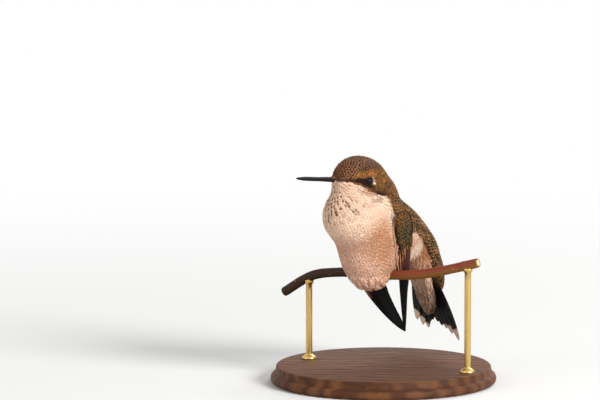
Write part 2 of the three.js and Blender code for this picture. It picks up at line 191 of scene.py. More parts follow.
# %% The plumage's outer shape
SOFTNESS, JOIN = 1.42, 0.3
HEAD_FORMS = {
    "skull": ((0.4, 0, -0.2), (8.5, 8.1, 8), -15),
    "forehead": ((4.6, 0, 2.1), (5.9, 5.1, 4.6), -31),
    "chin": ((4.3, 0, -3.4), (4.8, 4.4, 3.3), 25),
}
BODY_FORMS = {
    "throat": ((12.1, 0, 10.9), (8.6, 8.5, 7.8), 0),
    "nape": ((1.6, 0, 13.8), (8.8, 7.9, 8.4), 50),
    "breast": ((11.9, 0, 7.1), (10.3, 10.7, 8.8), 30),
    "trunk": ((0, 0, 0), (16.7, 9.3, 11.7), 41),
    "mantle": ((-9.2, 0, 2.8), (14, 8.7, 8.1), 44),
    "flank": ((8.2, 0, 0.3), (5.5, 9.3, 6.5), 0),
    "belly": ((6, 0, -6.7), (10.3, 8.3, 7.9), 59),
    "rump": ((-21.4, 0, -6.5), (13.2, 7.6, 5.8), 56),
}
bird_forms = [
    (from_head(at), np.array(half, float), stance(HEAD_TURN, HEAD_PITCH + tip * DEG))
    for at, half, tip in HEAD_FORMS.values()
] + [
    (from_body(at), np.array(half, float), stance(BODY_TURN, tip * DEG))
    for at, half, tip in BODY_FORMS.values()
]


print(len(bird_forms), "forms, from", ", ".join([*HEAD_FORMS, *BODY_FORMS]))

# %% [markdown]
# The joined forms become one surface, which is a function here: it says how far any point lies
# outside it. The direction straight out of it and the place where a ray leaves it follow from
# that one number. The CAD flesh below checks that the formula and the model agree.

# %% The surface as a function
FAR_OUTSIDE, CAUTION = 60.0, 0.8
SMALL_STEP = 0.03
FLESH = ("head", "neck", "trunk")


def distance_to(forms, points):
    """How far points are outside the softly joined forms."""
    total = np.zeros(points.shape[:-1])
    for middle, half, ways in forms:
        scaled = ((points - middle) @ ways) / half
        reach = length(scaled)
        total += np.exp(-reach * (reach - 1) / np.maximum(length(scaled / half), 1e-9) / SOFTNESS)
    return -SOFTNESS * np.log(np.maximum(total, 1e-300))


def surface_of(forms):
    """The function that says how far points are outside these forms."""
    return lambda points: distance_to(forms, points)


def joined(one, other):
    """Two surfaces as one, with a narrow rounded join."""
    return lambda points: -JOIN * np.logaddexp(-one(points) / JOIN, -other(points) / JOIN)


def normals_of(surface, points):
    """Directions straight out of a surface, from how its distance changes over a small step."""
    here = surface(points)
    slopes = [surface(points + SMALL_STEP * way) - here for way in np.eye(3)]
    return unit(np.stack(slopes, axis=-1))


def reach_out(surface, centre, ways, level, passes=34):
    """Where rays from a centre leave a surface, at a level above or below it."""
    reach = np.full(len(ways), FAR_OUTSIDE)
    for _ in range(passes):
        points = centre + ways * reach[:, None]
        reach -= CAUTION * (surface(points) - level(points))
    return centre + ways * reach[:, None]


bird = surface_of(bird_forms)
flesh = np.concatenate([[v.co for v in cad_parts[name].data.vertices] for name in FLESH]) / MM
print("middle gap between the formula and the CAD flesh:",
      round(float(np.median(np.abs(bird(flesh)))), 3), "mm")

# %% [markdown]
# The stem passes under the belly, so skin and feathers have to make room for it. Its middle
# line is a smooth curve through a few heights. The same line later makes the stem itself and
# bends the toes round it.

# %% The stem's middle line
PERCH_RADIUS = 1.6
PERCH_TURN = 28 * DEG
PERCH_CROSSES = (-2.36, 0.0)
PERCH_HEIGHTS = (28.1, 34.4, 36.4, 36.7, 36.9, 38.0, 40.4, 43.3)
PERCH_REACH = (-33.5, 31.2)
SEAT_STEP = np.array([-0.66, 0, -1.04]) @ BODY_WAYS.T


def smooth_line(knots, count):
    """Even steps along a smooth curve that passes through the knots."""
    knots = np.array(knots, float)
    ends = [2 * knots[0] - knots[1], *knots, 2 * knots[-1] - knots[-2]]
    pieces = []
    for a, b, c, d in zip(ends, ends[1:], ends[2:], ends[3:]):
        t = np.linspace(0, 1, 40, endpoint=False)[:, None]
        pieces.append(0.5 * (2 * b + (c - a) * t + (2 * a - 5 * b + 4 * c - d) * t**2
                             + (3 * b - a - 3 * c + d) * t**3))
    fine = np.concatenate([*pieces, knots[-1:]])
    run = np.concatenate([[0], np.cumsum(length(np.diff(fine, axis=0)))])
    even = np.linspace(0, run[-1], count)
    return np.stack([np.interp(even, run, fine[:, axis]) for axis in range(3)], axis=1)


perch_x = np.linspace(*PERCH_REACH, len(PERCH_HEIGHTS))
perch_y = PERCH_CROSSES[1] - (perch_x - PERCH_CROSSES[0]) * math.tan(PERCH_TURN)
perch_line = smooth_line(np.stack([perch_x, perch_y, PERCH_HEIGHTS], axis=1), 240)
PERCH_WAY = np.array([math.cos(PERCH_TURN), -math.sin(PERCH_TURN)])


def off_perch(points):
    """From the stem's middle line, square to its run seen from above, to each point."""
    along = (points[..., :2] - PERCH_CROSSES) @ PERCH_WAY
    x = PERCH_CROSSES[0] + along * PERCH_WAY[0]
    y = PERCH_CROSSES[1] + along * PERCH_WAY[1]
    return points - np.stack([x, y, np.interp(x, perch_line[:, 0], perch_line[:, 2])], axis=-1)


print("stem length", round(float(length(np.diff(perch_line, axis=0)).sum()), 1), "mm")

# %% [markdown]
# Every piece is a mesh made from arrays: points, faces and a few values for the shader. One
# maker function serves all. It turns the faces outwards if they came out inside in, shades them
# smooth, hangs the piece on the frame's body and hides the CAD parts that it stands for.

# %% Making a piece
def signed_volume(points, faces):
    """More than nothing where the faces look outwards."""
    a, b, c = points[faces[:, 0]], points[faces[:, 1]], points[faces[:, 2]]
    volume = np.einsum("ij,ij->i", a, np.cross(b, c)).sum()
    if faces.shape[1] == 4:
        d = points[faces[:, 3]]
        volume += np.einsum("ij,ij->i", a, np.cross(c, d)).sum()
    return volume


def put(name, data, place=(0, 0, 0), turn=(0, 0, 0)):
    """Hangs a mesh, a lamp or a camera in the scene."""
    thing = bpy.data.objects.new(name, data)
    thing.location, thing.rotation_euler = place, turn
    bpy.context.scene.collection.objects.link(thing)
    return thing


def make_piece(name, points, faces, material, stands_for=(), values=None, bake_map=None):
    """faces is a list of arrays, each with one kind of face. values are read by the shader."""
    points = np.asarray(points, float).reshape(-1, 3)
    quads = [group for group in faces if group.shape[1] in (3, 4)]
    if sum(signed_volume(points, group) for group in quads) < 0:
        faces = [group[:, ::-1] for group in faces]
    sizes = np.concatenate([np.full(len(group), group.shape[1]) for group in faces])
    corners = np.concatenate([group.ravel() for group in faces])
    mesh = bpy.data.meshes.new(name)
    mesh.vertices.add(len(points))
    mesh.vertices.foreach_set("co", (points * MM).astype(np.float32).ravel())
    mesh.loops.add(len(corners))
    mesh.loops.foreach_set("vertex_index", corners.astype(np.int32))
    mesh.polygons.add(len(sizes))
    mesh.polygons.foreach_set("loop_start", (np.cumsum(sizes) - sizes).astype(np.int32))
    mesh.polygons.foreach_set("use_smooth", np.ones(len(sizes), bool))
    mesh.update(calc_edges=True)
    for key, array in (values or {}).items():
        kind = "color" if array.shape[-1] == 4 else "vector"
        made = mesh.attributes.new(key, "FLOAT_" + kind.upper(), "POINT")
        made.data.foreach_set(kind, array.astype(np.float32).ravel())
    if bake_map is not None:
        layer = mesh.uv_layers.new(name="OFBake")
        layer.uv.foreach_set("vector", bake_map[corners].astype(np.float32).ravel())
    mesh.materials.append(material)
    piece = put(name, mesh)
    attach(piece, "root")
    if stands_for:
        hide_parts(*stands_for)
    print(f"{name}: {int((sizes - 2).sum())} triangles")


# %% [markdown]
# Many pieces are tubes: a ring of points that follows a line, with flat ends. That one shape
# makes slivers, shafts, toes, claws, the stem and the stand. Its faces are counted out for any
# number of tubes at once.

# %% Tubes
def tube_faces(count, stations, around):
    """Side faces and end caps for a number of closed tubes whose rings follow each other."""
    tube = np.arange(count)[:, None, None] * stations * around
    ring = np.arange(stations - 1)[None, :, None] * around
    step = np.arange(around)[None, None, :]
    after = (step + 1) % around
    here, there = tube + ring, tube + ring + around
    sides = np.stack([here + step, here + after, there + after, there + step], axis=-1).reshape(-1, 4)
    starts = np.arange(count)[:, None] * stations * around
    turn = np.arange(around)[None, :]
    first = (starts + turn)[:, ::-1]
    last = starts + (stations - 1) * around + turn
    return [sides, first, last]


def sweep(line, ups, half_wide, half_deep, around):
    """Points of a closed tube round a line, in rings of half_wide by half_deep."""
    ways = unit(np.gradient(line, axis=0))
    ups = flatten(ups, ways)
    sides = np.cross(ups, ways)
    turns = circle(around)
    across = sides[:, None] * (np.reshape(half_wide, (-1, 1)) * np.cos(turns))[..., None]
    high = ups[:, None] * (np.reshape(half_deep, (-1, 1)) * np.sin(turns))[..., None]
    return line[:, None] + across + high


# %% [markdown]
# Materials are node trees, built in code so that each finish can be read as a recipe. A small
# helper adds a node, sets its numbers and links its inputs in one call. Numbers that are the
# same all over a surface are set on the shader itself, where other programs can read them.

# %% A helper for shader recipes
class Nodes:
    """A node tree under construction. add() makes a node and feeds its inputs."""

    def __init__(self, tree):
        self.tree = tree

    def add(self, kind, inputs=None, **settings):
        node = self.tree.nodes.new("ShaderNode" + kind)
        for key, value in settings.items():
            setattr(node, key, value)
        for key, value in (inputs or {}).items():
            self.feed(node.inputs[key], value)
        return node

    def feed(self, socket, value):
        if isinstance(value, bpy.types.Node):
            value = value.outputs[0]
        if isinstance(value, bpy.types.NodeSocket):
            self.tree.links.new(value, socket)
        else:
            socket.default_value = value

    def maths(self, operation, one, other=0.0):
        """A sum, a product or another sort of arithmetic with one or two numbers."""
        return self.add("Math", {0: one, 1: other}, operation=operation)

    def times(self, one, other):
        return self.maths("MULTIPLY", one, other)

    def plus(self, one, other):
        return self.maths("ADD", one, other)

    def ramp(self, value, low, high, to_low=0.0, to_high=1.0):
        limits = {"From Min": low, "From Max": high, "To Min": to_low, "To Max": to_high}
        return self.add("MapRange", {"Value": value, **limits}, interpolation_type="SMOOTHSTEP")

    def mix(self, share, one, other, how="MIX"):
        node = self.add("Mix", data_type="RGBA", blend_type=how)
        self.feed(node.inputs[0], share)
        self.feed(node.inputs[6], one)
        self.feed(node.inputs[7], other)
        return node.outputs[2]


class Recipe(Nodes):
    def __init__(self, name, **plain):
        self.material = bpy.data.materials.new(name)
        self.material.use_nodes = True
        super().__init__(self.material.node_tree)
        self.shader = self.tree.nodes["Principled BSDF"]
        for key, value in plain.items():
            self.shader.inputs[key.replace("_", " ")].default_value = value

    def finish(self, **links):
        for key, value in links.items():
            self.feed(self.shader.inputs[key.replace("_", " ")], value)
        return self.material

    def value(self, name, output="Color"):
        return self.add("Attribute", attribute_name=name).outputs[output]

    def place(self):
        """Where on its object a point is, in metres."""
        return self.add("TexCoord").outputs["Object"]

    def parts(self):
        """The three numbers that the mesh carries as its vane values."""
        return self.add("SeparateXYZ", {0: self.value("vane", "Vector")}).outputs

    def noise(self, scale, detail, stretch=None):
        at = self.place()
        if stretch is not None:
            at = self.add("Mapping", {"Vector": at, "Scale": stretch}).outputs[0]
        return self.add("TexNoise", {"Vector": at, "Scale": scale, "Detail": detail}).outputs["Fac"]

    def spots(self, scale):
        """The distance to the nearest of many scattered dots."""
        dots = self.add("TexVoronoi", {"Vector": self.place(), "Scale": scale})
        return dots.outputs["Distance"]

    def bump(self, height, distance, strength):
        links = {"Height": height, "Distance": distance, "Strength": strength}
        return self.add("Bump", links).outputs["Normal"]

    def shaded(self, colour, shade):
        """A colour made lighter or darker by a number."""
        grey = self.add("CombineColor", {0: shade, 1: shade, 2: shade})
        return self.mix(1.0, colour, grey, "MULTIPLY")


def rgba(colour):
    return (*[float(c) for c in colour], 1.0)


def stain(red, green, blue):
    """A paint ready for a node's colour input."""
    return rgba(paint(red, green, blue))


# %% [markdown]
# A feather's colour has three layers. Its own tint comes from where it grows. Its rim is paler,
# and just inside the rim runs a darker band: together they make the scalloped look of a young
# bird's crown and back. Each feather carries its own coordinates, across and along, so the rim
# follows its outline whatever way it points. Barbs are fine slanting lines in colour and bump.

# %% Feather finishes
def feather_finish(name, roughness, sheen, rim_from, centre=DUSK, metallic=0.0, barb_depth=0.5,
                   shades=(0.84, 1.08)):
    r = Recipe(name, Roughness=roughness, Sheen_Weight=sheen, Sheen_Roughness=0.5,
               Metallic=metallic, Specular_IOR_Level=0.12)
    tint = r.add("Attribute", attribute_name="tint")
    rim = r.add("Attribute", attribute_name="rim")
    sideways, along, own = r.parts()
    across = r.maths("ABSOLUTE", sideways)

    # how near the rounded, slightly ragged edge of the feather a point is
    past = r.maths("DIVIDE", r.maths("MAXIMUM", r.maths("SUBTRACT", along, 0.35), 0.0), 0.65)
    wide = r.times(across, 0.92)
    squares = r.plus(r.times(past, past), r.times(wide, wide))
    ragged = r.times(r.maths("SUBTRACT", r.noise(3400, 3), 0.5), 0.14)
    edge = r.plus(r.maths("SQRT", squares), ragged)
    rim_share = r.times(r.ramp(edge, rim_from, rim_from + 0.05), tint.outputs["Alpha"])
    inside = r.times(r.ramp(edge, 0.2, 0.45), r.ramp(edge, rim_from + 0.03, rim_from - 0.04))
    band = r.times(inside, rim.outputs["Alpha"])

    # barbs slant outwards, and each feather is a little lighter or darker than the next
    slant = r.plus(r.times(along, 60.0), r.times(across, 22.0))
    barbs = r.maths("SINE", r.plus(slant, r.times(own, 40.0)))
    lines = r.plus(r.times(barbs, 0.04), 0.98)
    shade = r.times(lines, r.ramp(own, 0.0, 1.0, *shades))
    colour = r.mix(band, tint.outputs["Color"], rgba(centre))
    colour = r.shaded(r.mix(rim_share, colour, rim.outputs["Color"]), shade)
    return r.finish(Base_Color=colour, Normal=r.bump(barbs, 0.00002, barb_depth))


soft_finish = feather_finish("soft_plumage", 0.88, 0.03, 0.76, barb_depth=0.12, shades=(0.94, 1.05))
scale_finish = feather_finish("scaled_plumage", 0.7, 0.02, 0.91)
back_finish = feather_finish("back_plumage", 0.66, 0.02, 0.89, SOOT)
bronze_finish = feather_finish("bronze_plumage", 0.56, 0.02, 0.88, blend(SOOT, DUSK, 0.5), metallic=0.15)
print("feather finishes:", ", ".join(m.name for m in bpy.data.materials if "plumage" in m.name))

# %% [markdown]
# ## Where each colour lies
# A young male's markings follow his anatomy: a scaled cap from the bill to the nape, a gold and
# rufous brow, dark lores that point from the eye to the bill, a white spot behind the eye, a
# streaked throat and a washed flank. A flat stencil would fit from one side only. Here they are
# soft patches round places on the head and body, so skin and feathers share them.

# %% Patches, strokes and washes
def patch(at, middle, half, edge):
    """1 inside an ellipsoid round a place and 0 outside, with a soft edge."""
    return 1 - soft_step(1 - edge, 1 + edge, length((at - middle) / half))


def stroke(at, start, end, widths, soft=0.22):
    """1 along a tapering mark on the head's side, between two places given as forward and up."""
    start, way = np.array(start), np.array(end) - np.array(start)
    flat = at[..., [0, 2]]
    share = np.clip((flat - start) @ way / (way @ way), 0, 1)
    far = length(flat - start - share[..., None] * way)
    return soft_step(soft, -soft, far - blend(*widths, share))


def over(colours, share, colour):
    return blend(colours, colour, column(share))


def all_over(colour, points):
    return np.broadcast_to(colour, points.shape)


def washes(colours, at, table):
    """Lays soft patches over colours. Each is a share, a middle, half sizes, an edge and a paint."""
    for share, middle, half, edge, colour in table:
        colours = over(colours, share * patch(at, middle, half, edge), colour)
    return colours


# %% [markdown]
# Markings are the same on both sides, so places are folded onto the left side before they are
# compared. Two borders split the plumage: one between the dark upper side and the pale
# underside, and one round the scaled cap. Each is a short list of places along the bird and the
# border's heights there. The cheek's list starts at the bill and counts backwards.

# %% Borders of the upper side and the cap
TRUNK_AXIS = 46 * DEG
NECK_AXIS = np.array([0.25, 0, 0.97])
NECK_FROM, NECK_TO = 12.6, 16.7
CHEEK_BORDER = ((-11.5, -9.4, -7.3, -4.8, -3, -1, 1.4, 5.6, 9),
                (-0.9, -0.8, -0.7, -1.3, -1.9, -2.7, -3.6, -3.9, -5.2))
BODY_BORDER = ((-30, -17, -12, -5, 6, 11), (6.5, 9.5, 10, 8, 6, 7))
CAP_BORDER = ((-9, -7, -2.5, 0.8, 4, 6.7, 7.6, 8.2), (3.4, 4.8, 5.3, 4.6, 3.7, 2.2, 0.9, -1.5))


def folded(at):
    """Places on the right side moved to the same places on the left."""
    return np.where((False, True, False), np.abs(at), at)


def head_side(points):
    return folded(in_head(points))


def body_side(points):
    return folded(in_body(points))


def trunk_places(points):
    """How far along the trunk's axis a point is, and how far to the back's side of it."""
    x, _, z = np.moveaxis(in_body(points), -1, 0)
    cos, sin = math.cos(TRUNK_AXIS), math.sin(TRUNK_AXIS)
    return x * cos + z * sin, z * cos - x * sin


def headness(points):
    """1 on the head, 0 on the body and a soft change over the neck."""
    return soft_step(NECK_FROM, NECK_TO, in_body(points) @ NECK_AXIS)


def dark_side(points):
    """1 where the upper side's darker feathers grow and 0 on the pale underside."""
    head = head_side(points)
    along, back = trunk_places(points)
    on_head = soft_step(-0.25, 0.25, head[..., 2] - np.interp(-head[..., 0], *CHEEK_BORDER))
    on_body = soft_step(-0.5, 0.5, back - np.interp(along, *BODY_BORDER))
    return blend(on_body, on_head, headness(points))


def cap_share(head):
    """1 on the scaled cap, from the bill over the crown to the nape."""
    return soft_step(-0.3, 0.3, head[..., 2] - np.interp(head[..., 0], *CAP_BORDER))


# %% [markdown]
# Colours are laid on in washes, as in watercolour: a broad tint first, then smaller and stronger
# ones. Small strokes on the face come last: lores, gape line, ear streak and the white spot
# behind the eye.

# %% The plumage's colours
UNDERSIDE_WASHES = (
    (0.6, (13, 7.5, -1.5), (5, 5, 3), 0.5, PEACH),
    (1.0, (-18.5, 7, -4.5), (7, 5, 6), 0.4, SAND),
    (0.7, (-19.5, 7, -3.5), (5, 4, 5), 0.4, TAWNY),
    (1.0, (-12.9, 6.5, -6.5), (3.2, 4, 5), 0.35, MILK),
)
CHEEK_WASHES = ((0.5, (1.9, 8.4, -3.3), (3.2, 3, 0.8), 0.5, TAWNY),)
FACE_WASHES = (
    (0.8, (4.2, 7.3, 2.6), (3.6, 3, 0.9), 0.5, GOLD),
    (0.8, (0.3, 7.9, 3.1), (2, 3, 0.8), 0.5, RUFOUS),
    (0.8, (9.6, 4, 0.8), (2.4, 4, 1.3), 0.4, MAUVE),
    (0.7, (-4, 8, 1.2), (2.4, 4, 2.2), 0.5, OLIVE),
    (0.5, (-7.2, 6, 2.5), (2, 5, 2), 0.5, RUFOUS),
    (0.5, (0.2, 8.4, -2.4), (4.5, 4, 1.5), 0.5, DUSK),
)
DARK_STROKES = (
    (1.0, (8.3, 0.4), (3.0, 0.25), (0.12, 1.3)),
    (1.0, (3.0, -0.5), (0.5, -1.25), (0.8, 0.5)),
    (0.7, (0.5, -1.35), (-1.8, -2.6), (0.4, 0.35)),
    (0.95, (-1.7, -2.75), (-4.9, -3.1), (0.45, 0.5)),
    (0.85, (11.4, -1.05), (7.4, 0.15), (0.36, 0.26)),
)
FAINT_STROKES = (
    (0.55, (3.4, -1.9), (0.4, -3.1), (0.3, 0.3), 0.22, TAWNY),
    (0.5, (1.2, -6.1), (-3.6, -5.0), (0.5, 1.0), 0.5, blend(ASH, DUSK, 0.3)),
    (0.5, (5.7, -2.0), (4.4, -3.0), (0.12, 0.18), 0.2, DUSK),
)
WHITE_SPOT = ((0.4, 1.9), (-0.2, -0.1), (0.46, 0.52), 0.15)


def underside(points, head, body, up_head):
    """From creamy throat to peach belly, with a washed flank."""
    under = over(all_over(CREAM, points), soft_step(5, -3, body[..., 2]), BLUSH)
    under = over(under, 0.8 * soft_step(1, -8, body[..., 2]) * soft_step(10, 3, body[..., 0]), PEACH)
    under = over(under, 0.9 * patch(body, (9, 10.5, 0), (7, 4, 8), 0.6) * (1 - up_head), SAND)
    return washes(washes(under, body, UNDERSIDE_WASHES), head, CHEEK_WASHES)


def upperside(points, head, body, up_head, cap):
    """The scaled cap, gold brow, rufous ear and olive back."""
    upper = over(over(all_over(RUFOUS, points), 0.5, OLIVE), 0.42, DUSK)
    upper = washes(upper, head, FACE_WASHES)
    brow_share = column(soft_step(4, 9, head[..., 0]))
    crown = blend(blend(MAUVE, DUSK, 0.75), blend(MAUVE, RUFOUS, 0.4), brow_share)
    upper = over(upper, cap, crown)
    upper = over(upper, cap * soft_step(3, -5, head[..., 0]), blend(OLIVE, DUSK, 0.6))
    along, _ = trunk_places(points)
    back = over(all_over(OLIVE, points), 0.55, DUSK)
    back = over(back, 0.35 * soft_step(2, -16, along), BRONZE)
    back = over(back, 0.8 * patch(body, (-0.5, 8.3, 9), (5, 4, 4), 0.5), GOLD)
    back = over(back, 0.35 * soft_step(10, 13, along), RUFOUS)
    back = over(back, 0.9 * patch(body, (-26.5, 5, -11), (3.4, 5, 4.5), 0.3), SOOT)
    return blend(back, upper, column(up_head))


def plumage(points, firm_ones=False):
    """Tint, rim colour, rim strength and band strength of the feathers at points."""
    head, body, up_head = head_side(points), body_side(points), headness(points)
    cap = cap_share(head)
    under = underside(points, head, body, up_head)
    dark = dark_side(points)
    if firm_ones:
        dark = np.maximum(dark, 0.85)
    tint = blend(under, upperside(points, head, body, up_head, cap), column(dark))

    rim = over(all_over(BUFF_EDGE, points), cap * up_head, PINK_EDGE_AND_HIGHLIGHT)
    rim = over(rim, 0.6 * cap * soft_step(3, -4, head[..., 0]), OLIVE)
    rim = over(rim, patch(head, (-5, 8, 1), (4, 5, 3), 0.4), RUFOUS)
    rim = blend(over(under, 0.5, CREAM), rim, column(dark))
    rim_strength = blend(0.5, blend(0.9, 0.35 + 0.32 * cap, up_head), dark)
    band = blend(0.04, blend(0.85, 0.3 + 0.6 * cap, up_head), dark)

    for share, start, end, widths, soft, colour in FAINT_STROKES:
        tint = over(tint, share * stroke(head, start, end, widths, soft), colour)
    marks = np.max([share * stroke(head, *mark) for share, *mark in DARK_STROKES], axis=0)
    tint = over(tint, marks, blend(DUSK, SOOT, 0.6))
    spot = stroke(head, *WHITE_SPOT)
    tint = over(tint, spot, blend(MILK, PEACH, 0.15))
    plain = 1 - np.clip(marks + spot, 0, 1)
    return tint, rim, rim_strength * plain, band * plain


# %% [markdown]
# ## The skin
# One skin runs from the bill to the rump without a seam. It is drawn by rays that leave a point
# in the chest and stop just below the plumage's surface, by the coat's depth: a quarter of a
# millimetre at the bill and over one on the body.

# %% Rays round a pole
HEART = from_body((0.94, 0, 2.83))
POLE = unit(from_head((9, 0, 1)) - from_body(BODY_FORMS["rump"][0]))
POLE_SIDE = unit(np.cross(POLE, UP))
POLE_TOP = np.cross(POLE_SIDE, POLE)
GAP = 0.3


def coat_depth(points):
    """How far the skin lies below the plumage's surface."""
    far = length(points - BILL_BASE)
    return 0.22 + 0.26 * soft_step(1, 6, far) + 0.65 * soft_step(11, 22, far)


def round_pole(around, along):
    """Directions all round the pole, ring by ring from one end to the other."""
    turns = np.arange(around) / around
    drops = np.arange(1, along) / along
    turn, drop = np.meshgrid(turns, drops)
    ways = way_at(turn.ravel(), drop.ravel())
    return np.concatenate([[POLE], ways, [-POLE]])


def way_at(turn, drop):
    """Directions given as a turn round the pole and a drop from it, both 0 to 1."""
    a, b = 2 * np.pi * turn[:, None], np.pi * drop[:, None]
    return POLE * np.cos(b) + (POLE_TOP * np.cos(a) + POLE_SIDE * np.sin(a)) * np.sin(b)


def map_place(ways):
    """Where a direction lies on the unwrapped map: round the pole, and down from it."""
    turn = np.arctan2(ways @ POLE_SIDE, ways @ POLE_TOP) / (2 * np.pi) % 1
    return np.stack([turn, np.arccos(np.clip(ways @ POLE, -1, 1)) / np.pi], axis=-1)


def ball_faces(around, along):
    ring = 1 + np.arange(along - 2)[:, None] * around
    step = np.arange(around)[None, :]
    after = (step + 1) % around
    sides = np.stack([ring + step, ring + around + step, ring + around + after, ring + after], -1)
    last = 1 + (along - 1) * around
    turn = np.arange(around)
    top = np.stack([np.zeros(around, int), 1 + turn, 1 + (turn + 1) % around], 1)
    low = last - around
    bottom = np.stack([np.full(around, last), low + (turn + 1) % around, low + turn], 1)
    return [sides.reshape(-1, 4), top, bottom]


# %% [markdown]
# The skin's rays go out in rings round a pole that runs from rump to bill, so its points make a
# simple grid with two closed ends. Where a ray would run into the stem, it stops at the bed.

# %% The skin's points
SKIN_AROUND, SKIN_ALONG = 168, 128
BED_SHARES = np.linspace(0.3, 1, 90)


def stop_at_bed(points):
    """Pulls points back towards the heart where their ray meets the bed of the stem."""
    ways = points - HEART
    stop = np.ones(len(points))
    for share in BED_SHARES[::-1]:
        here = HEART + ways * share
        inside = np.zeros(len(points), bool)
        for step in range(3):
            inside |= length(off_perch(here - step * SEAT_STEP)) < PERCH_RADIUS + GAP
        stop[inside] = share
    return HEART + ways * stop[:, None]


skin_points = reach_out(bird, HEART, round_pole(SKIN_AROUND, SKIN_ALONG), lambda p: -coat_depth(p))
skin_points = stop_at_bed(skin_points)
print("skin reaches from", skin_points.min(0).round(1), "to", skin_points.max(0).round(1))

# %% [markdown]
# The skin shows only between feathers, so it wears the same markings, a little darker, with a
# fine goose-flesh bump where feathers would leave it.

# %% The skin's finish
def skin_finish():
    r = Recipe("skin_under_coat", Roughness=0.85, Specular_IOR_Level=0.2)
    fine = r.noise(2500, 3)
    colour = r.shaded(r.value("tint"), r.ramp(fine, 0.2, 0.8, 0.8, 1.0))
    return r.finish(Base_Color=colour, Normal=r.bump(fine, 0.00005, 0.6))


def with_alpha(colours, alpha):
    return np.concatenate([colours, column(np.broadcast_to(alpha, colours.shape[:-1]))], axis=-1)


skin_tint, _, _, skin_band = plumage(skin_points)
skin_tint = over(skin_tint * 0.92, 0.5 * skin_band, DUSK)
make_piece("skin", skin_points, ball_faces(SKIN_AROUND, SKIN_ALONG), skin_finish(),
           FLESH, {"tint": with_alpha(skin_tint, 1.0)})

# %% [markdown]
# ## How feathers lie
# Feathers point away from the bill over the head and towards the tail on the body, and part
# round each eye. Each feather starts at the skin, rises slowly through the coat and ends at its
# surface, so that it covers the roots of the next ones, like tiles.

# %% The lie of the coat
TAILWARD = np.array([-0.6, 0, -0.8]) @ BODY_WAYS.T
STEM_ROOM, EYE_ROOM = 0.22, 1.5
SPINE_STATIONS = 8
EYE_WAYS = {side: normals_of(bird, eye[None])[0] for side, eye in EYES.items()}


def bird_lie(points):
    from_bill = points - BILL_BASE
    lie = blend(unit(from_bill), TAILWARD, column(soft_step(13, 26, length(from_bill))))
    for eye in EYES.values():
        to_eye = eye - points
        toward = unit(to_eye)
        pull = np.maximum(np.sum(lie * toward, axis=-1), 0) * soft_step(4.4, 2.6, length(to_eye))
        lie = lie - toward * column(pull)
    return unit(lie)


def clear_of_stem(points):
    away = off_perch(points)
    far = length(away)
    short = np.maximum(PERCH_RADIUS + STEM_ROOM - far, 0)
    return points + away / column(np.maximum(far, 1e-6)) * column(short)


def clear_of_eyes(points):
    """Keeps each eye's opening free."""
    for side, eye in EYES.items():
        axis = EYE_WAYS[side]
        away = points - eye
        out = away @ axis
        across = away - column(out) * axis
        far = length(across)
        short = np.maximum(EYE_ROOM - far, 0) * (out > 0)
        points = points + across * column(short / np.maximum(far, 1e-6))
    return points


def grow(surface, lie, roots, lengths, low, high, rise=0.5):
    """Middle lines of feathers. Each climbs from level low at its root to level high at its tip."""
    here, lines = roots, [roots]
    way = flatten(lie(roots), normals_of(surface, roots))
    for share in shares(SPINE_STATIONS)[1:]:
        out = normals_of(surface, here)
        way = flatten(blend(way, lie(here), 0.6), out)
        here = here + way * column(lengths / (SPINE_STATIONS - 1))
        level = low + (high - low) * share**rise
        here = here + out * column(level - surface(here))
        here = clear_of_eyes(clear_of_stem(here))
        lines.append(here)
    lines = np.stack(lines, axis=1)
    ways = unit(np.gradient(lines, axis=1))
    ups = flatten(normals_of(surface, lines), ways)
    return lines, ups, np.cross(ways, ups)


# %% [markdown]
# Real feathers grow in even, staggered rows. Random places would leave bare spots, so roots are
# thrown at random first, those too near another are dropped, and the rest then push each other
# apart until they sit in an even, nearly honeycomb pattern.

# %% Even roots
PUSHES, PUSH, NEIGHBOURS, ROOM_EACH = 30, 0.35, 8, 1.45
TOO_NEAR = 0.84


def thin_out(points, spacing, order):
    """Keeps points that are at least their spacing from those kept before."""
    cell = float(spacing.max())
    boxes, kept = {}, []
    keys = np.floor(points / cell).astype(int)
    around = [(i, j, k) for i in (-1, 0, 1) for j in (-1, 0, 1) for k in (-1, 0, 1)]
    for i in order:
        a, b, c = keys[i]
        x, y, z = points[i]
        limit = spacing[i] ** 2
        if any((x - p[0]) ** 2 + (y - p[1]) ** 2 + (z - p[2]) ** 2 < limit
               for da, db, dc in around for p in boxes.get((a + da, b + db, c + dc), ())):
            continue
        boxes.setdefault((a, b, c), []).append((x, y, z))
        kept.append(i)
    return np.array(kept)


def push_apart(surface, points, pitch):
    """Moves points along the surface until each has its own room."""
    for _ in range(PUSHES):
        tree = KDTree(len(points))
        for i, point in enumerate(points):
            tree.insert(point, i)
        tree.balance()
        room = ROOM_EACH * pitch(points)
        near = [[found[1:] for found in tree.find_n(point, NEIGHBOURS) if found[1] != i]
                for i, point in enumerate(points)]
        others = np.array([[j for j, _ in row] for row in near])
        fars = np.array([[far for _, far in row] for row in near])
        ways = (points[:, None] - points[others]) / np.maximum(fars, 1e-6)[..., None]
        force = np.maximum(1 - fars / room[:, None], 0)
        points = points + PUSH * room[:, None] * (ways * force[..., None]).sum(1) / 2
        points = points - normals_of(surface, points) * column(surface(points))
    return points


def scatter(surface, centre, pitch, throws, seed):
    """Evenly spread places on a surface, with a spacing that varies over it."""
    random = np.random.default_rng(seed)
    points = reach_out(surface, centre, unit(random.normal(size=(throws, 3))), lambda p: 0.0, passes=24)
    kept = thin_out(points, TOO_NEAR * pitch(points), range(throws))
    return push_apart(surface, points[kept], pitch)


# %% [markdown]
# How far the roots stand apart decides how fine the plumage looks. A bird's feathers are tiny
# round the bill and the eyes and grow larger towards the rump, and the back's are the largest.

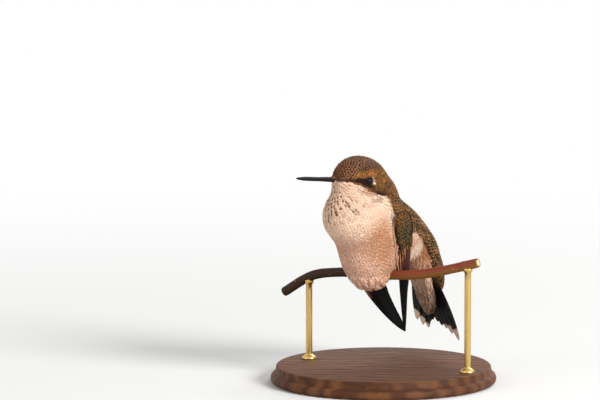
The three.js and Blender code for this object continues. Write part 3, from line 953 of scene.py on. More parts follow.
# %% Feather sizes and places
PITCH_BY_REACH = ((0, 2, 6, 14, 22, 34, 60), (0.46, 0.52, 0.74, 0.9, 1.1, 1.3, 1.4))
BACK_WIDER, CAP_WIDER = 1.45, 0.14


def bird_pitch(points):
    """From one feather to the next: tiny at the bill and the eyes, largest on the rump."""
    far = length(points - BILL_BASE)
    pitch = np.interp(far, *PITCH_BY_REACH)
    wide = BACK_WIDER * dark_side(points) * soft_step(15, 26, far)
    wide = wide + CAP_WIDER * cap_share(in_head(points)) * headness(points)
    pitch = pitch * (1 + wide)
    for eye in EYES.values():
        pitch = np.minimum(pitch, 0.48 + 0.5 * soft_step(4, 8, length(points - eye)))
    return pitch


roots = scatter(bird, HEART, bird_pitch, 76000, seed=7)
print(len(roots), "feather places on the bird")

# %% [markdown]
# ## Two kinds of feather
# A firm feather is one thin closed vane, cupped like a tile, with a rounded tip. A soft feather
# is a fan of slivers from one root: its barbs don't hook together, so it frays at the tip and
# reads as down. Both are closed meshes, made for thousands of feathers in one array.

# %% Vanes
VANE_RING = np.array([(1, 0), (0.86, 0.8), (0.3, 1), (-0.3, 1), (-0.86, 0.8), (-1, 0),
                      (-0.5, -1), (0.5, -1)], float)
VANE_OUTLINE = np.array([0.2, 0.55, 0.84, 0.98, 1.0, 0.95, 0.76, 0.3])
VANE_THICK, VANE_CUP = 0.03, 0.12
PATCH_ON_MAP = 0.0028


def patches_on_map(root_ways, across, along):
    """Each feather's small patch on the skin's own map, at its root's place."""
    place = map_place(root_ways).reshape(-1, *([1] * (across.ndim - 1)), 2)
    return place + PATCH_ON_MAP * np.stack([across / 2, along - 0.5], axis=-1)


def vanes(lines, ups, sides, half_widths, own):
    """Closed vanes round middle lines, with their coordinates across and along."""
    count, stations = lines.shape[:2]
    across, high = VANE_RING[:, 0], VANE_RING[:, 1]
    wide = half_widths[:, None] * VANE_OUTLINE
    points = lines[:, :, None] + sides[:, :, None] * (wide[..., None] * across)[..., None]
    lift = high * VANE_THICK / 2 - VANE_CUP * across**2 * wide[..., None]
    points = points + ups[:, :, None] * lift[..., None]
    vane = together(across, shares(stations)[:, None], own[:, None, None])
    return points, vane, tube_faces(count, stations, len(VANE_RING))


# %% [markdown]
# Each sliver of a fan copies the feather's middle line, moved sideways to its own place. Slivers
# at the sides are shorter and lie a little lower, and all end raggedly.

# %% Fans
SLIVER_RING = np.array([(1, -0.5), (0, 1), (-1, -0.5)], float)
SLIVER_OUTLINE = np.array([0.7, 1.0, 1.0, 0.8, 0.16])
SLIVER_THICK, SLIVER_OVERLAP = 0.035, 2.1
SIDES_SHORTER, SIDES_LOWER, ROOT_SPREAD = 0.26, 0.16, 0.14
PLACE_VARIES, LAYER_VARIES = (-0.1, 0.1), (-0.03, 0.03)


def fans(lines, ups, sides, half_widths, slivers, own, random, fray):
    """Fans of slivers that follow middle lines."""
    count, stations = lines.shape[:2]
    place = np.linspace(-1, 1, slivers) + random.uniform(*PLACE_VARIES, (count, slivers))
    reach = 1 - SIDES_SHORTER * place**2 - random.uniform(0, fray, (count, slivers))
    share = shares(len(SLIVER_OUTLINE)) * reach[..., None]
    at = share * (stations - 1)
    low = np.minimum(at.astype(int), stations - 2)
    rest = (at - low)[..., None]
    feather = np.arange(count)[:, None, None]
    spine = blend(lines[feather, low], lines[feather, low + 1], rest)
    side, up = sides[feather, low], ups[feather, low]
    opened = blend(ROOT_SPREAD, 1, soft_step(0, 0.65, share))
    spread = place[..., None] * opened * half_widths[:, None, None]
    layer = random.uniform(*LAYER_VARIES, (count, slivers, 1)) * half_widths[:, None, None]
    droop = layer * share - SIDES_LOWER * spread * place[..., None]
    spine = spine + side * spread[..., None] + up * droop[..., None]
    wide = SLIVER_OVERLAP * half_widths[:, None, None] / slivers * SLIVER_OUTLINE
    across, high = SLIVER_RING[:, 0], SLIVER_RING[:, 1]
    points = spine[..., None, :] + side[..., None, :] * (wide[..., None] * across)[..., None]
    points = points + up[..., None, :] * (high * SLIVER_THICK / 2)[:, None]
    along = np.broadcast_to(share[..., None], points.shape[:-1])
    vane = together(place[..., None, None], along, own[:, None, None, None])
    return points, vane, tube_faces(count * slivers, len(SLIVER_OUTLINE), len(SLIVER_RING))


# %% [markdown]
# The folded wings press into the coat. Where they lie is settled now, as feathers at the breast's
# side and the shoulder have to climb over each wing's front edge, which ties it into the body.

# %% Where the wings lie
WINGS = {
    "left": dict(side=1, bend=(3.8, -8.9, 56.1), tip=(7.3, 8.1, 16.1), rear=(0.62, 0.74, 0.3),
                 bow=0.4, sweep=0.28, width=3.5, roots=0.45, tips=0.22, stagger=0.0),
    "right": dict(side=-1, bend=(-15.2, 5.3, 45.6), tip=(7.6, 14, 15.2), rear=(0.55, 0.55, 0.62),
                  bow=0.28, sweep=1.5, width=5.2, roots=0.6, tips=0.5, stagger=0.7),
}
COVERT_HALF, COVERT_AT = (9, 4.2, 1.05), (6.1, 3.4, 0.5)


def wing_frame(wing):
    bend, tip = np.array(wing["bend"], float), np.array(wing["tip"], float)
    along = unit(tip - bend)
    rear = np.array(wing["rear"])
    back = unit(rear - along * (rear @ along))
    outward = np.cross(along, back) * wing["side"]
    return bend, along, back, outward, length(tip - bend)


def wing_cover(wing):
    """The form of the wing's coverts, as the list of forms that a surface is made from."""
    bend, along, back, outward, _ = wing_frame(wing)
    a, b, c = COVERT_AT
    return [(bend + along * a + back * b + outward * c, np.array(COVERT_HALF, float),
             np.stack([along, back, outward], axis=1))]


def under_wing(points):
    """Places that a wing's coverts hide."""
    hidden = np.zeros(len(points), bool)
    for wing in WINGS.values():
        (middle, half, ways), = wing_cover(wing)
        local = ((points - middle) @ ways) / half
        hidden |= (length(local[:, :2]) < 0.72) & (local[:, 0] > -0.5) & (np.abs(local[:, 2]) < 3)
    return hidden


def under_primaries(points):
    """Places that a wing's long feathers lie on."""
    hidden = np.zeros(len(points), bool)
    for wing in WINGS.values():
        bend, along, back, outward, reach = wing_frame(wing)
        a, b, c = ((points - bend) @ way for way in (along, back, outward))
        front = wing["width"] * (0.4 * (1 - a / reach) - 0.5) - 0.2
        hidden |= (a > 5) & (a < 24) & (b > front) & (b < front + wing["width"] + 3) & (np.abs(c) < 2.2)
    return hidden


dressed = bird
for wing in WINGS.values():
    dressed = joined(dressed, surface_of(wing_cover(wing)))
    middle, half, ways = wing_cover(wing)[0]
    top = middle + ways[:, 2] * half[2] * wing["side"]
    print("the coverts stand", round(float(bird(top)), 2), "mm off the body")

# %% [markdown]
# The coat is now grown in named areas. The cap and the back get firm vanes, and the rest of the
# head and the pale underside soft fans. Roots too near an eye, inside the bill, in the stem's
# bed or under a wing are left out.

# %% Sorting the roots
BILL_WAYS = stance(HEAD_TURN, 5 * DEG)
BILL_WAY = BILL_WAYS[:, 0]
to_bill = roots - BILL_BASE
off_bill = length(to_bill - column(to_bill @ BILL_WAY) * BILL_WAY)
keep = (off_bill > 1.0) | (to_bill @ BILL_WAY < -3)
for eye in EYES.values():
    keep &= length(roots - eye) > 2.2
keep &= length(off_perch(roots)) > PERCH_RADIUS + GAP + 0.1
keep &= ~under_wing(roots)
shown = roots + flatten(bird_lie(roots), normals_of(bird, roots)) * column(2 * bird_pitch(roots))
keep &= ~under_primaries(shown)
roots, shown = roots[keep], shown[keep]
face = headness(roots) > 0.5
firm = (dark_side(shown) > 0.5) & (~face | (cap_share(head_side(shown)) > 0.5))
along_trunk, _ = trunk_places(roots)
print("firm feathers", int(firm.sum()), "soft feathers", int((~firm).sum()))

# %% [markdown]
# The throat of a young male is streaked: dusky spots stand in rows that run down from the chin,
# one on the middle of each feather. One small spot has already come in dark red, the first of
# the gorget that an adult wears.

# %% Throat streaks
RED_SPOT, RED_REACH = from_body((22.2, 1.1, 10.2)), 0.75
ROW_APART = 9.5 * DEG


def streaks(centres, own):
    """How strongly the middle of each throat feather is marked."""
    head = in_head(centres)
    far = length(centres - BILL_BASE)
    turn = np.arctan2(head[..., 1], -head[..., 2] - 1)
    row = soft_step(-0.1, 0.6, np.cos((turn / ROW_APART + 0.5) * 2 * np.pi))
    on_throat = soft_step(1, 3, far) * soft_step(18, 13.5, far)
    on_throat = on_throat * soft_step(68 * DEG, 56 * DEG, np.abs(turn))
    return on_throat * row * soft_step(0.1, 0.4, own) * (dark_side(centres) < 0.3)


def streaked(tint, rim_strength, lines, own, vane):
    """Marks the middle of throat feathers, and reddens the few near the red spot."""
    across, along = np.abs(vane[..., 0]), vane[..., 1]
    marked = streaks(lines[:, 5], own).reshape(-1, 1, 1, 1)
    middle = soft_step(0.85, 0.5, across) * soft_step(0.36, 0.55, along)
    tint = over(tint, 0.95 * middle * marked, blend(DUSK, TAWNY, 0.25))
    reds = length(lines[:, 6] - RED_SPOT) < RED_REACH
    red = reds.reshape(-1, 1, 1, 1) * soft_step(0.45, 0.6, along)
    return over(tint, red, blend(GARNET, TAWNY, 0.2)), rim_strength * (1 - red)


# %% [markdown]
# A young bird's back looks uneven: fresh pale-edged feathers stand among worn dark ones. Three
# crossing waves make blotches that never line up into bands, whichever side they are seen from.
# Then single feathers are toned towards olive, dusk or rufous and made lighter or darker.

# %% Uneven tones on the upper side
TONES = ((0.7, OLIVE), (0.45, DUSK), (0.35, RUFOUS))
TONE_SHARE, TONE_STRENGTH = 0.2, 0.65
LIGHTEST, DARKEST = -0.35, 0.6


def blotches(points):
    """Uneven patches of pale-edged and dark feathers on the back, 0 to 1."""
    x, y, z = np.moveaxis(in_body(points), -1, 0)
    waves = np.sin(1.9 * x + 1.3 * y) + np.sin(1.7 * y - 1.1 * z + 1)
    waves = waves + np.sin(1.5 * z - 1.2 * x + 2 * y)
    return soft_step(-1.6, 1.6, waves)


def toned(tint, centres, random):
    """Tones single feathers of the upper side. The cap keeps its own colours."""
    each = (-1, *([1] * (tint.ndim - 2)))
    dark = dark_side(centres) * (1 - cap_share(in_head(centres)) * headness(centres))
    pick = random.uniform(0, 1, len(centres)).reshape(each)
    grey = tint.mean(-1)
    plain = soft_step(0.015, 0.04, grey) * soft_step(0.4, 0.3, grey) * dark.reshape(each)
    for low, colour in TONES:
        picked = (pick > low) & (pick < low + TONE_SHARE)
        tint = over(tint, TONE_STRENGTH * plain * picked, colour)
    return tint * column(1 - plain * random.uniform(LIGHTEST, DARKEST, len(centres)).reshape(each))


# %% [markdown]
# One function grows any area of the coat. It takes the chosen roots, draws a middle line for each
# feather, builds a vane or a fan on it, colours it by its place and joins all of them into one
# mesh. A thousand feathers in one mesh are far lighter than a thousand objects.

# %% A piece of the coat
ROOT_BELOW_SKIN = 0.05
SLIVERS_EACH = 9
LENGTHS_VARY, TIPS_VARY, TWIST = (0.92, 1.08), (-0.03, 0.03), 0.04
HEM_LONGER = 0.5


def hem(points):
    """1 at the bottom of the belly, where long wisps hang over the stem."""
    return soft_step(-9, -13, in_body(points)[..., 2])


def per_feather(values, points):
    """One value or place for each feather, shaped to serve all its points."""
    return values.reshape(-1, *([1] * (points.ndim - 2)), *values.shape[1:])


def shapes(kind, spines, half, own, random, fray=0.1):
    """Vanes for firm feathers and fans for soft ones."""
    if kind == "vane":
        return vanes(*spines, half, own)
    return fans(*spines, half, SLIVERS_EACH, own, random, fray)


def feather_piece(name, mesh, finish, ways, tint, rim, rim_strength, band):
    """One piece made of many feathers, each with its own patch on the skin's map."""
    points, vane, faces = mesh
    bake_map = patches_on_map(unit(ways), vane[..., 0], vane[..., 1]).reshape(-1, 2)
    values = {"tint": with_alpha(tint, rim_strength), "rim": with_alpha(rim, band), "vane": vane}
    make_piece(name, points, faces, finish, (), values, bake_map)


def coat_piece(name, chosen, finish, kind, long, wide, high, seed, rise=0.5, fray=0.1, uneven=0.2):
    """Grows the chosen feathers and makes them one piece."""
    start = roots[chosen]
    count = len(start)
    random = np.random.default_rng(seed)
    own = random.uniform(0, 1, count)
    pitch = bird_pitch(start)
    low = -coat_depth(start) - ROOT_BELOW_SKIN
    start = start + normals_of(bird, start) * column(low)
    lengths = pitch * long * random.uniform(*LENGTHS_VARY, count)
    lengths = lengths * (1 + HEM_LONGER * hem(start) * random.uniform(0, 1, count))
    top = (high(start) if callable(high) else high) + random.uniform(*TIPS_VARY, count)
    lines, ups, sides = grow(dressed, bird_lie, start, lengths, low, top, rise=rise)
    sides = unit(sides + ups * column(column(random.normal(0, TWIST, count))))
    mesh = shapes(kind, (lines, ups, sides), pitch * wide, own, random, fray)
    points, vane, _ = mesh

    centres = lines[:, 5]
    near_centre = blend(points, per_feather(centres, points), 0.6)
    tint, rim, rim_strength, band = plumage(near_centre, firm_ones=kind == "vane")
    rim_strength = rim_strength * (1 - uneven * per_feather(random.uniform(0, 1, count), points))
    if uneven > 0.5:
        blotch = per_feather(blotches(centres), points)
        rim_strength = rim_strength * (0.3 + blotch)
        tint = tint * column(0.65 + 0.5 * blotch)
    tint = toned(tint, centres, random)
    if kind == "fan":
        tint, rim_strength = streaked(tint, rim_strength, lines, own, vane)
    feather_piece(name, mesh, finish, start - HEART, tint, rim, rim_strength, band)


# %% [markdown]
# Feathers stand out only where the real ones do: a loose fringe at the bottom of the belly, and
# the scalloped edge of the back, which a perched bird fluffs a little. Soft feathers are longer
# than firm ones and rise faster to the surface.

# %% Growing the coat
def belly_fluff(points):
    hang = np.random.default_rng(17).uniform(0.3, 1.5, len(points))
    return -0.04 + hang * hem(points)


def back_lift(points):
    along, back = trunk_places(points)
    return 0.6 * soft_step(4, 10, back) * soft_step(4, -6, along) * soft_step(-26, -16, along)


body = ~face
chest = in_body(roots)[:, 2] > 1
front = in_body(roots)[:, 0] > -2
upper_back = along_trunk > -10
dark_ones = dark_side(shown) > 0.5
coat_piece("coat_head", firm & face, scale_finish, "vane", 2.7, 0.6, 0.0, 11)
for name, area, wide, seed, uneven in (("coat_back", upper_back, 0.66, 12, 0.9),
                                       ("coat_rump", ~upper_back, 0.68, 13, 0.8)):
    coat_piece(name, firm & body & area, back_finish, "vane", 2.8, wide, back_lift, seed, uneven=uneven)
SOFT_AREAS = (
    ("coat_cheek", face & dark_ones, 3.0, 0.66, -0.02, 14, 0.1),
    ("coat_throat", face & ~dark_ones, 3.0, 0.66, -0.02, 19, 0.1),
    ("coat_breast", body & chest, 3.2, 0.72, -0.03, 15, 0.14),
    ("coat_belly", body & ~chest & front, 3.4, 0.72, belly_fluff, 16, 0.2),
    ("coat_flank", body & ~chest & ~front, 3.4, 0.72, -0.04, 20, 0.2),
)
for name, area, long, wide, high, seed, fray in SOFT_AREAS:
    coat_piece(name, ~firm & area, soft_finish, "fan", long, wide, high, seed, rise=0.28, fray=fray)

# %% [markdown]
# Very small feathers grow forward over the bill's root and hide where it leaves the head. They
# are the finest on the bird, a millimetre long, and stop short of the nostrils.

# %% Feathers on the bill's root
TUFT_ROWS = ((-0.9, 0.5), (-0.2, 0.25), (0.5, 0.0))
TUFTS_AROUND = 15


def tufts_on_bill():
    """Three rings of tiny fans. The foremost grows on the bill's upper side only."""
    random = np.random.default_rng(18)
    along = np.repeat([start for start, _ in TUFT_ROWS], TUFTS_AROUND)
    steps = np.concatenate([np.arange(TUFTS_AROUND) + offset for _, offset in TUFT_ROWS])
    turns = steps / TUFTS_AROUND * 2 * np.pi
    keep = (along < 0.3) | (np.sin(turns) > 0.2)
    along, turns = along[keep], turns[keep]
    out = column(np.cos(turns)) * BILL_WAYS[:, 1] + column(np.sin(turns)) * BILL_WAYS[:, 2]
    run = shares(SPINE_STATIONS)
    lines = BILL_BASE + (along[:, None] + 1.5 * run)[..., None] * BILL_WAY
    lines = lines + out[:, None] * (0.92 + 0.2 * np.sin(run * 2.6))[None, :, None]
    ups = np.broadcast_to(out[:, None], lines.shape)
    sides = np.cross(np.broadcast_to(BILL_WAY, lines.shape), ups)
    own = random.uniform(0, 1, len(lines))
    mesh = fans(lines, ups, sides, np.full(len(lines), 0.26), 5, own, random, 0.3)
    tint, rim, _, band = plumage(mesh[0] - 2.2 * BILL_WAY)
    feather_piece("coat_bill_root", mesh, soft_finish, lines[:, 0] - HEART, tint, rim, 0 * band,
                  0.4 * band)


tufts_on_bill()

# %% [markdown]
# ## Bill
# A ruby-throat's bill is black, straight and needle-thin: two half shells, the upper closing
# over the lower, with a fine gape line between them. Each is swept along the bill's axis as one
# closed body, so the line is real and catches light like the true one.

# %% The bill
BILL_LENGTH, BILL_ROOT = 15.3, 2.08
BILL_HALF_DEPTH = (0.99, 0.85, 0.74, 0.72, 0.7, 0.4)
BILL_FLATNESS, GAPE_HALF = 1.1, 0.035


def bill_half_depth(along, end):
    knots = np.linspace(0, end * 0.97, len(BILL_HALF_DEPTH))
    half = np.interp(along, knots, BILL_HALF_DEPTH)
    return half * np.sqrt(np.clip((end - along) / 0.9, 0.02, 1))


def mandible(name, upper, end, stands_for=()):
    """One closed half of the bill: a bowed outer side and a flat inner one, down to its tip."""
    tip = end - np.cos(np.linspace(0, 1.55, 9))
    along = np.concatenate([np.linspace(-BILL_ROOT, end - 1, 44), tip])
    half = bill_half_depth(along, end)
    turns = np.linspace(0, np.pi, 15)
    sign = 1 if upper else -1
    wide, share = (1.0, 1.0) if upper else (0.9, 0.93)
    outer = together(np.cos(turns) * wide * BILL_FLATNESS,
                     sign * (GAPE_HALF + np.sin(turns) ** 0.9 * share))
    inner = together(np.linspace(-0.7, 0.7, 5) * wide * BILL_FLATNESS, sign * GAPE_HALF)
    ring = np.concatenate([outer, inner])
    groove = np.exp(-((along - 2.2) / 1.6) ** 2) * (0.14 if upper else 0.05)
    side = np.exp(-((np.abs(ring[:, 1]) - 0.4) / 0.16) ** 2)
    pinch = 1 - groove[:, None] * side[None, :]
    y = half[:, None] * ring[None, :, 0] * pinch
    z = half[:, None] * ring[None, :, 1]
    points = BILL_BASE + together(along[:, None], y, z) @ BILL_WAYS.T
    values = {"vane": together((along / end)[:, None], y, z)}
    make_piece(name, points, tube_faces(1, len(along), len(ring)), bill_finish,
               stands_for, values)


def bill_recipe():
    r = Recipe("bill_horn", Roughness=0.42, Specular_IOR_Level=0.14)
    along, _, high = r.parts()
    grain, cloud = r.noise(900, 4), r.noise(260, 2)
    base = r.mix(r.ramp(along, 0.25, -0.05), stain(12, 9, 8), stain(40, 25, 18))
    # painted highlight: a paler pinkish brown along the top of the bill's base stands for light on its
    # ridge
    painted_ridge_highlight = r.times(r.ramp(high, 0.45, 0.95), r.ramp(along, 0.3, 0.0))
    base = r.mix(painted_ridge_highlight, base, stain(88, 62, 52))
    colour = r.mix(r.ramp(cloud, 0.4, 0.7, 0.0, 0.3), base, stain(24, 17, 13))
    return r.finish(Base_Color=colour, Roughness=r.ramp(grain, 0.3, 0.7, 0.38, 0.52),
                    Normal=r.bump(grain, 0.00002, 0.5))


bill_finish = bill_recipe()
mandible("bill_upper", True, BILL_LENGTH, ("bill",))
mandible("bill_lower", False, BILL_LENGTH - 0.35)

# %% [markdown]
# ## Eyes and lids
# The eye is a wet, nearly black ball. Its dark brown iris shows only as a faint ring. A ring of
# small-scaled skin, the two lids, lies on the ball and hides all of it but an opening of under
# three millimetres. The lids are what make the eye sit in the head.

# %% Eye and lid finishes
def eye_recipe():
    r = Recipe("eye", Roughness=0.06, Specular_IOR_Level=0.15)
    ring, _, _ = r.parts()
    streak = r.noise(1500, 3)
    iris = r.times(r.ramp(ring, 24 * DEG, 27 * DEG), r.ramp(ring, 46 * DEG, 38 * DEG))
    brown = r.mix(streak, stain(26, 15, 10), stain(52, 30, 20))
    return r.finish(Base_Color=r.mix(r.times(iris, 0.5), stain(6, 5, 5), brown))


def lid_recipe():
    r = Recipe("lid_skin", Roughness=0.6, Specular_IOR_Level=0.2)
    grain = r.spots(7000.0)
    colour = r.mix(grain, stain(26, 18, 15), stain(58, 42, 34))
    return r.finish(Base_Color=colour, Normal=r.bump(grain, 0.00004, 0.8))


# %% [markdown]
# Both parts of the eye are turned round the direction in which it looks out of the head. The ball
# is a sphere with a slight bulge in front. The lids are a thick ring with a rounded edge.

# %% Eyeballs and lids
EYE_OPENING, CORNEA = 50 * DEG, 0.03
EYE_AROUND, EYE_RINGS, LID_AROUND = 48, 33, 64
LID_SECTION = np.array([(0.015, 0.0), (0.1, -0.03), (0.17, 0.06), (0.18, 0.18), (0.1, 0.34),
                        (-0.1, 0.55), (-0.45, 0.75), (-0.45, 0.2), (0.015, 0.06)])


def around_axis(axis):
    """Two directions square to an axis: ahead and up."""
    top = unit(UP - axis * (UP @ axis))
    return np.cross(top, axis), top


def round_way(axis, turns):
    """Directions all round an axis."""
    ahead, top = around_axis(axis)
    return ahead * column(np.cos(turns)) + top * column(np.sin(turns))


def eyeball(side, middle, axis):
    """A ball whose front, the cornea, bulges a little."""
    drops = np.linspace(0, np.pi, EYE_RINGS + 1)[1:-1]
    drop, turn = np.meshgrid(drops, circle(EYE_AROUND), indexing="ij")
    bulge = EYE_RADIUS * (1 + CORNEA * np.exp(-(drop / 0.6) ** 2))
    ways = axis * column(np.cos(drop)) + round_way(axis, turn) * column(np.sin(drop))
    front, rear = middle + axis * EYE_RADIUS * (1 + CORNEA), middle - axis * EYE_RADIUS
    ball = np.concatenate([[front], (middle + ways * column(bulge)).reshape(-1, 3), [rear]])
    drop_of = np.concatenate([[0], drop.ravel(), [np.pi]])
    make_piece("eye_" + side, ball, ball_faces(EYE_AROUND, EYE_RINGS), eye_finish,
               ("eye_" + side,), {"vane": together(drop_of, drop_of, drop_of)})


def ring_faces(around, along):
    """Faces of a closed ring whose section is itself closed."""
    step = np.arange(around)[:, None] * along
    after = (np.arange(around)[:, None] + 1) % around * along
    row = np.arange(along)[None, :]
    next_row = (row + 1) % along
    sides = np.stack([step + row, step + next_row, after + next_row, after + row], -1)
    return [sides.reshape(-1, 4)]


def lids(side, middle, axis):
    """A thick ring of skin round the eye's opening, with a slightly wavy edge."""
    turns = circle(LID_AROUND)
    opening = EYE_OPENING * (1 + 0.04 * np.cos(2 * turns)) + 0.015 * np.sin(9 * turns)
    drop = opening[:, None] + LID_SECTION[None, :, 1]
    radius = EYE_RADIUS + LID_SECTION[None, :, 0] + 0.012 * np.sin(23 * turns)[:, None]
    outwards = round_way(axis, turns)[:, None] * (radius * np.sin(drop))[..., None]
    ring = middle + axis * (radius * np.cos(drop))[..., None] + outwards
    make_piece("lids_" + side, ring, ring_faces(LID_AROUND, len(LID_SECTION)), lid_finish)


eye_finish, lid_finish = eye_recipe(), lid_recipe()
for side, middle in EYES.items():
    eyeball(side, middle, EYE_WAYS[side])
    lids(side, middle, EYE_WAYS[side])

# %% [markdown]
# ## Flight feathers
# Wing and tail feathers are large enough to build one by one: a closed, gently cambered blade
# with a pointed or rounded outline, and on it a tapering shaft.

# %% Blades and shafts
BLADE_RING = np.array([(1, 0), (0.93, 0.7), (0.6, 1), (0.2, 1), (-0.2, 1), (-0.6, 1), (-0.93, 0.7),
                       (-1, 0), (-0.8, -0.8), (-0.3, -1), (0.3, -1), (0.8, -0.8)], float)
BLADE_STATIONS, SHAFT_AROUND = 44, 6
BLADE_THICK, CAMBER = 0.12, 0.06


def leaf(full, blunt, narrow):
    """Narrow at the root, fullest at full, then rounded off to a blunt tip."""
    def outline(share):
        rising = narrow + (1 - narrow) * np.sin(np.clip(share / full, 0, 1) * np.pi / 2)
        past = np.clip((share - full) / (1 - full), 0, 1)
        rounded = np.maximum(np.sqrt(1 - past**2), blunt * (1.02 - past * 0.4))
        return np.where(share < full, rising, rounded)
    return outline


def blade(root, tip, rear, face, width, outline, bow, sweep_by=0.0, shaft_at=0.0):
    """One flight feather that arches from its root to its tip."""
    share = shares(BLADE_STATIONS) ** 0.94
    arch = 4 * share * (1 - share)
    line = root + (tip - root) * share[:, None]
    line = line + rear * (sweep_by * arch)[:, None] + face * (bow * arch)[:, None]
    return blade_along(line, share, rear, outline(share) * width / 2, face, shaft_at)


def blade_along(line, share, rear, half, face, shaft_at=0.0):
    """Points of a blade and of its shaft along a line, with coordinates for the finish."""
    across, high = BLADE_RING[:, 0], BLADE_RING[:, 1]
    points = line[:, None] + rear * (half[:, None] * across)[..., None]
    thinning = 0.35 + 0.65 * (1 - share[:, None])
    lift = high * BLADE_THICK / 2 * thinning - CAMBER * across**2 * half[:, None]
    points = points + face * lift[..., None]
    vane = together(across, share[:, None], length(line[-1] - line[0]) / 40)
    place = line + rear * (half * shaft_at * (1 - share))[:, None] + face * (BLADE_THICK * 0.2)
    girth = 0.16 * (1 - share) ** 0.8 + 0.025
    shaft = sweep(place, all_over(face, place), girth, girth, SHAFT_AROUND)
    shaft_vane = together(0.0, share[:, None], np.full(SHAFT_AROUND, 2.0))
    return points, vane, shaft, shaft_vane


# %% [markdown]
# All feathers of one wing or of the tail go into one mesh. Each blade and each shaft keeps its
# own coordinates, and its paint is a function of them.

# %% Joining flight feathers
def make_blades(name, blades, tints, stands_for=()):
    """Joins several flight feathers and their shafts into one piece."""
    kinds = [tube_faces(1, BLADE_STATIONS, around) for around in (len(BLADE_RING), SHAFT_AROUND)]
    points, vane, tint, quads, ends, start = [], [], [], [], ([], []), 0
    for parts, paint_on in zip(blades, tints):
        for kind, faces in enumerate(kinds):
            part, part_vane = parts[2 * kind:2 * kind + 2]
            colours = paint_on(part_vane[..., 0], part_vane[..., 1])
            if kind == 1:
                colours = blend(colours, SOOT, 0.4)
            points.append(part.reshape(-1, 3))
            vane.append(part_vane.reshape(-1, 3))
            tint.append(colours.reshape(-1, 3))
            quads.append(faces[0] + start)
            ends[kind].extend([faces[1] + start, faces[2] + start])
            start += len(points[-1])
    groups = [np.concatenate(group) for group in (quads, *ends)]
    values = {"tint": with_alpha(np.concatenate(tint), 1.0), "vane": np.concatenate(vane)}
    make_piece(name, np.concatenate(points), groups, flight_finish, stands_for, values)


# %% [markdown]
# The finish draws the barbs, which slant away from the shaft, and a faint gloss. Paints are
# small functions as well: bands along a feather, a pale edge, or a paler stripe by the shaft.
# Since one can wrap another, a feather's paint is put together like layers.

# %% Flight feather finish and paints
def flight_recipe():
    r = Recipe("flight_feathers", Roughness=0.5, Sheen_Weight=0.02, Specular_IOR_Level=0.06)
    sideways, along, size = r.parts()
    across = r.maths("ABSOLUTE", sideways)
    run = r.times(r.times(along, size), 700.0)
    barbs = r.maths("SINE", r.plus(run, r.times(across, -42.0)))
    cloud = r.ramp(r.noise(700, 3), 0.3, 0.7, 0.9, 1.1)
    shade = r.times(r.ramp(barbs, -1.0, 1.0, 0.86, 1.06), cloud)
    colour = r.shaded(r.value("tint"), shade)
    return r.finish(Base_Color=colour, Roughness=r.ramp(barbs, -1.0, 1.0, 0.42, 0.6),
                    Normal=r.bump(barbs, 0.00003, 0.5))


flight_finish = flight_recipe()


def bands(*stops):
    """Colour along a feather, from pairs of share and colour."""
    knots = [share for share, _ in stops]
    colours = np.array([colour for _, colour in stops])

    def paint_on(across, along):
        return np.stack([np.interp(along, knots, colours[:, c]) for c in range(3)], axis=-1)
    return paint_on


def edged(base, edge, until, side, start):
    """Adds a pale edge on one side of a feather, fading out along it, also used as a painted highlight.
    """
    def paint_on(across, along):
        share = soft_step(start, start + 0.12, side * across) * soft_step(until, until * 0.7, along)
        return over(base(across, along), share, edge)
    return paint_on


def centred(base, light):
    """Adds a paler stripe beside the shaft, towards the tip."""
    def paint_on(across, along):
        share = soft_step(0.5, 0.2, np.abs(across - 0.1))
        share = share * soft_step(0.55, 0.7, along) * soft_step(1.02, 0.93, along)
        return over(base(across, along), 0.8 * share, light)
    return paint_on


# %% [markdown]
# ## Tail
# Ten feathers fan out from under the rump. The middle pair is bronze green. The outer ones are
# greyish at the base, then black, with the white tips that mark a young or female bird.

# %% The tail
TAIL_ROOT, TAIL_DROP, TAIL_ROLL = (-23.8, -1.3, -7.2), 70 * DEG, 20 * DEG
TAIL_LENGTHS = {1: (26.6, 27.4, 28, 29.6, 31.9), -1: (26.6, 27.6, 30.6, 30.6, 29.9)}
TAIL_ANGLES = {1: (3.5, 8, 13, 18, 23), -1: (1.5, 3.5, 5.9, 10.3, 15.1)}
TAIL_WIDTHS = (5.7, 5.9, 5.9, 5.7, 5.2)
TAIL_STEP, TAIL_SPREAD, TAIL_BOW = 0.1, 0.7, 0.76


def turned(way, axis, angle):
    """A direction turned about an axis."""
    swung = way * math.cos(angle) + np.cross(axis, way) * math.sin(angle)
    return swung + axis * (axis @ way) * (1 - math.cos(angle))


TAIL_DOWN = np.array([-math.cos(TAIL_DROP), 0, -math.sin(TAIL_DROP)]) @ BODY_WAYS.T
TAIL_SIDE = turned(BODY_WAYS[:, 1], TAIL_DOWN, TAIL_ROLL)
TAIL_BACK = -np.cross(TAIL_DOWN, TAIL_SIDE)
TAIL_PAINTS = [bands((0, ASH), *stops) for stops in (
    ((0.3, BRONZE), (0.8, OLIVE), (1, SOOT)),
    ((0.3, OLIVE), (0.65, BRONZE), (0.85, INK), (1, INK)),
    ((0.35, OLIVE), (0.5, INK), (0.94, INK), (0.96, MILK), (1, MILK)),
    ((0.35, ASH * 0.7), (0.47, INK), (0.89, INK), (0.91, MILK), (1, MILK)),
    ((0.3, ASH * 0.7), (0.42, INK), (0.87, INK), (0.89, MILK), (1, CREAM)),
)]


def tail_feather(side, rank):
    angle = side * TAIL_ANGLES[side][rank] * DEG
    along = TAIL_DOWN * math.cos(angle) + TAIL_SIDE * math.sin(angle)
    across = -np.cross(TAIL_BACK, along)
    under = -rank * TAIL_STEP * 2 - (TAIL_STEP if side < 0 else 0)
    root = from_body(TAIL_ROOT) + TAIL_BACK * under + TAIL_SIDE * (side * TAIL_SPREAD * (rank + 0.5))
    tip = root + along * TAIL_LENGTHS[side][rank]
    return blade(root, tip, across, unit(np.cross(across, along)), TAIL_WIDTHS[rank],
                 leaf(0.66, 0.2, 0.3), TAIL_BOW, shaft_at=-0.25 * side)


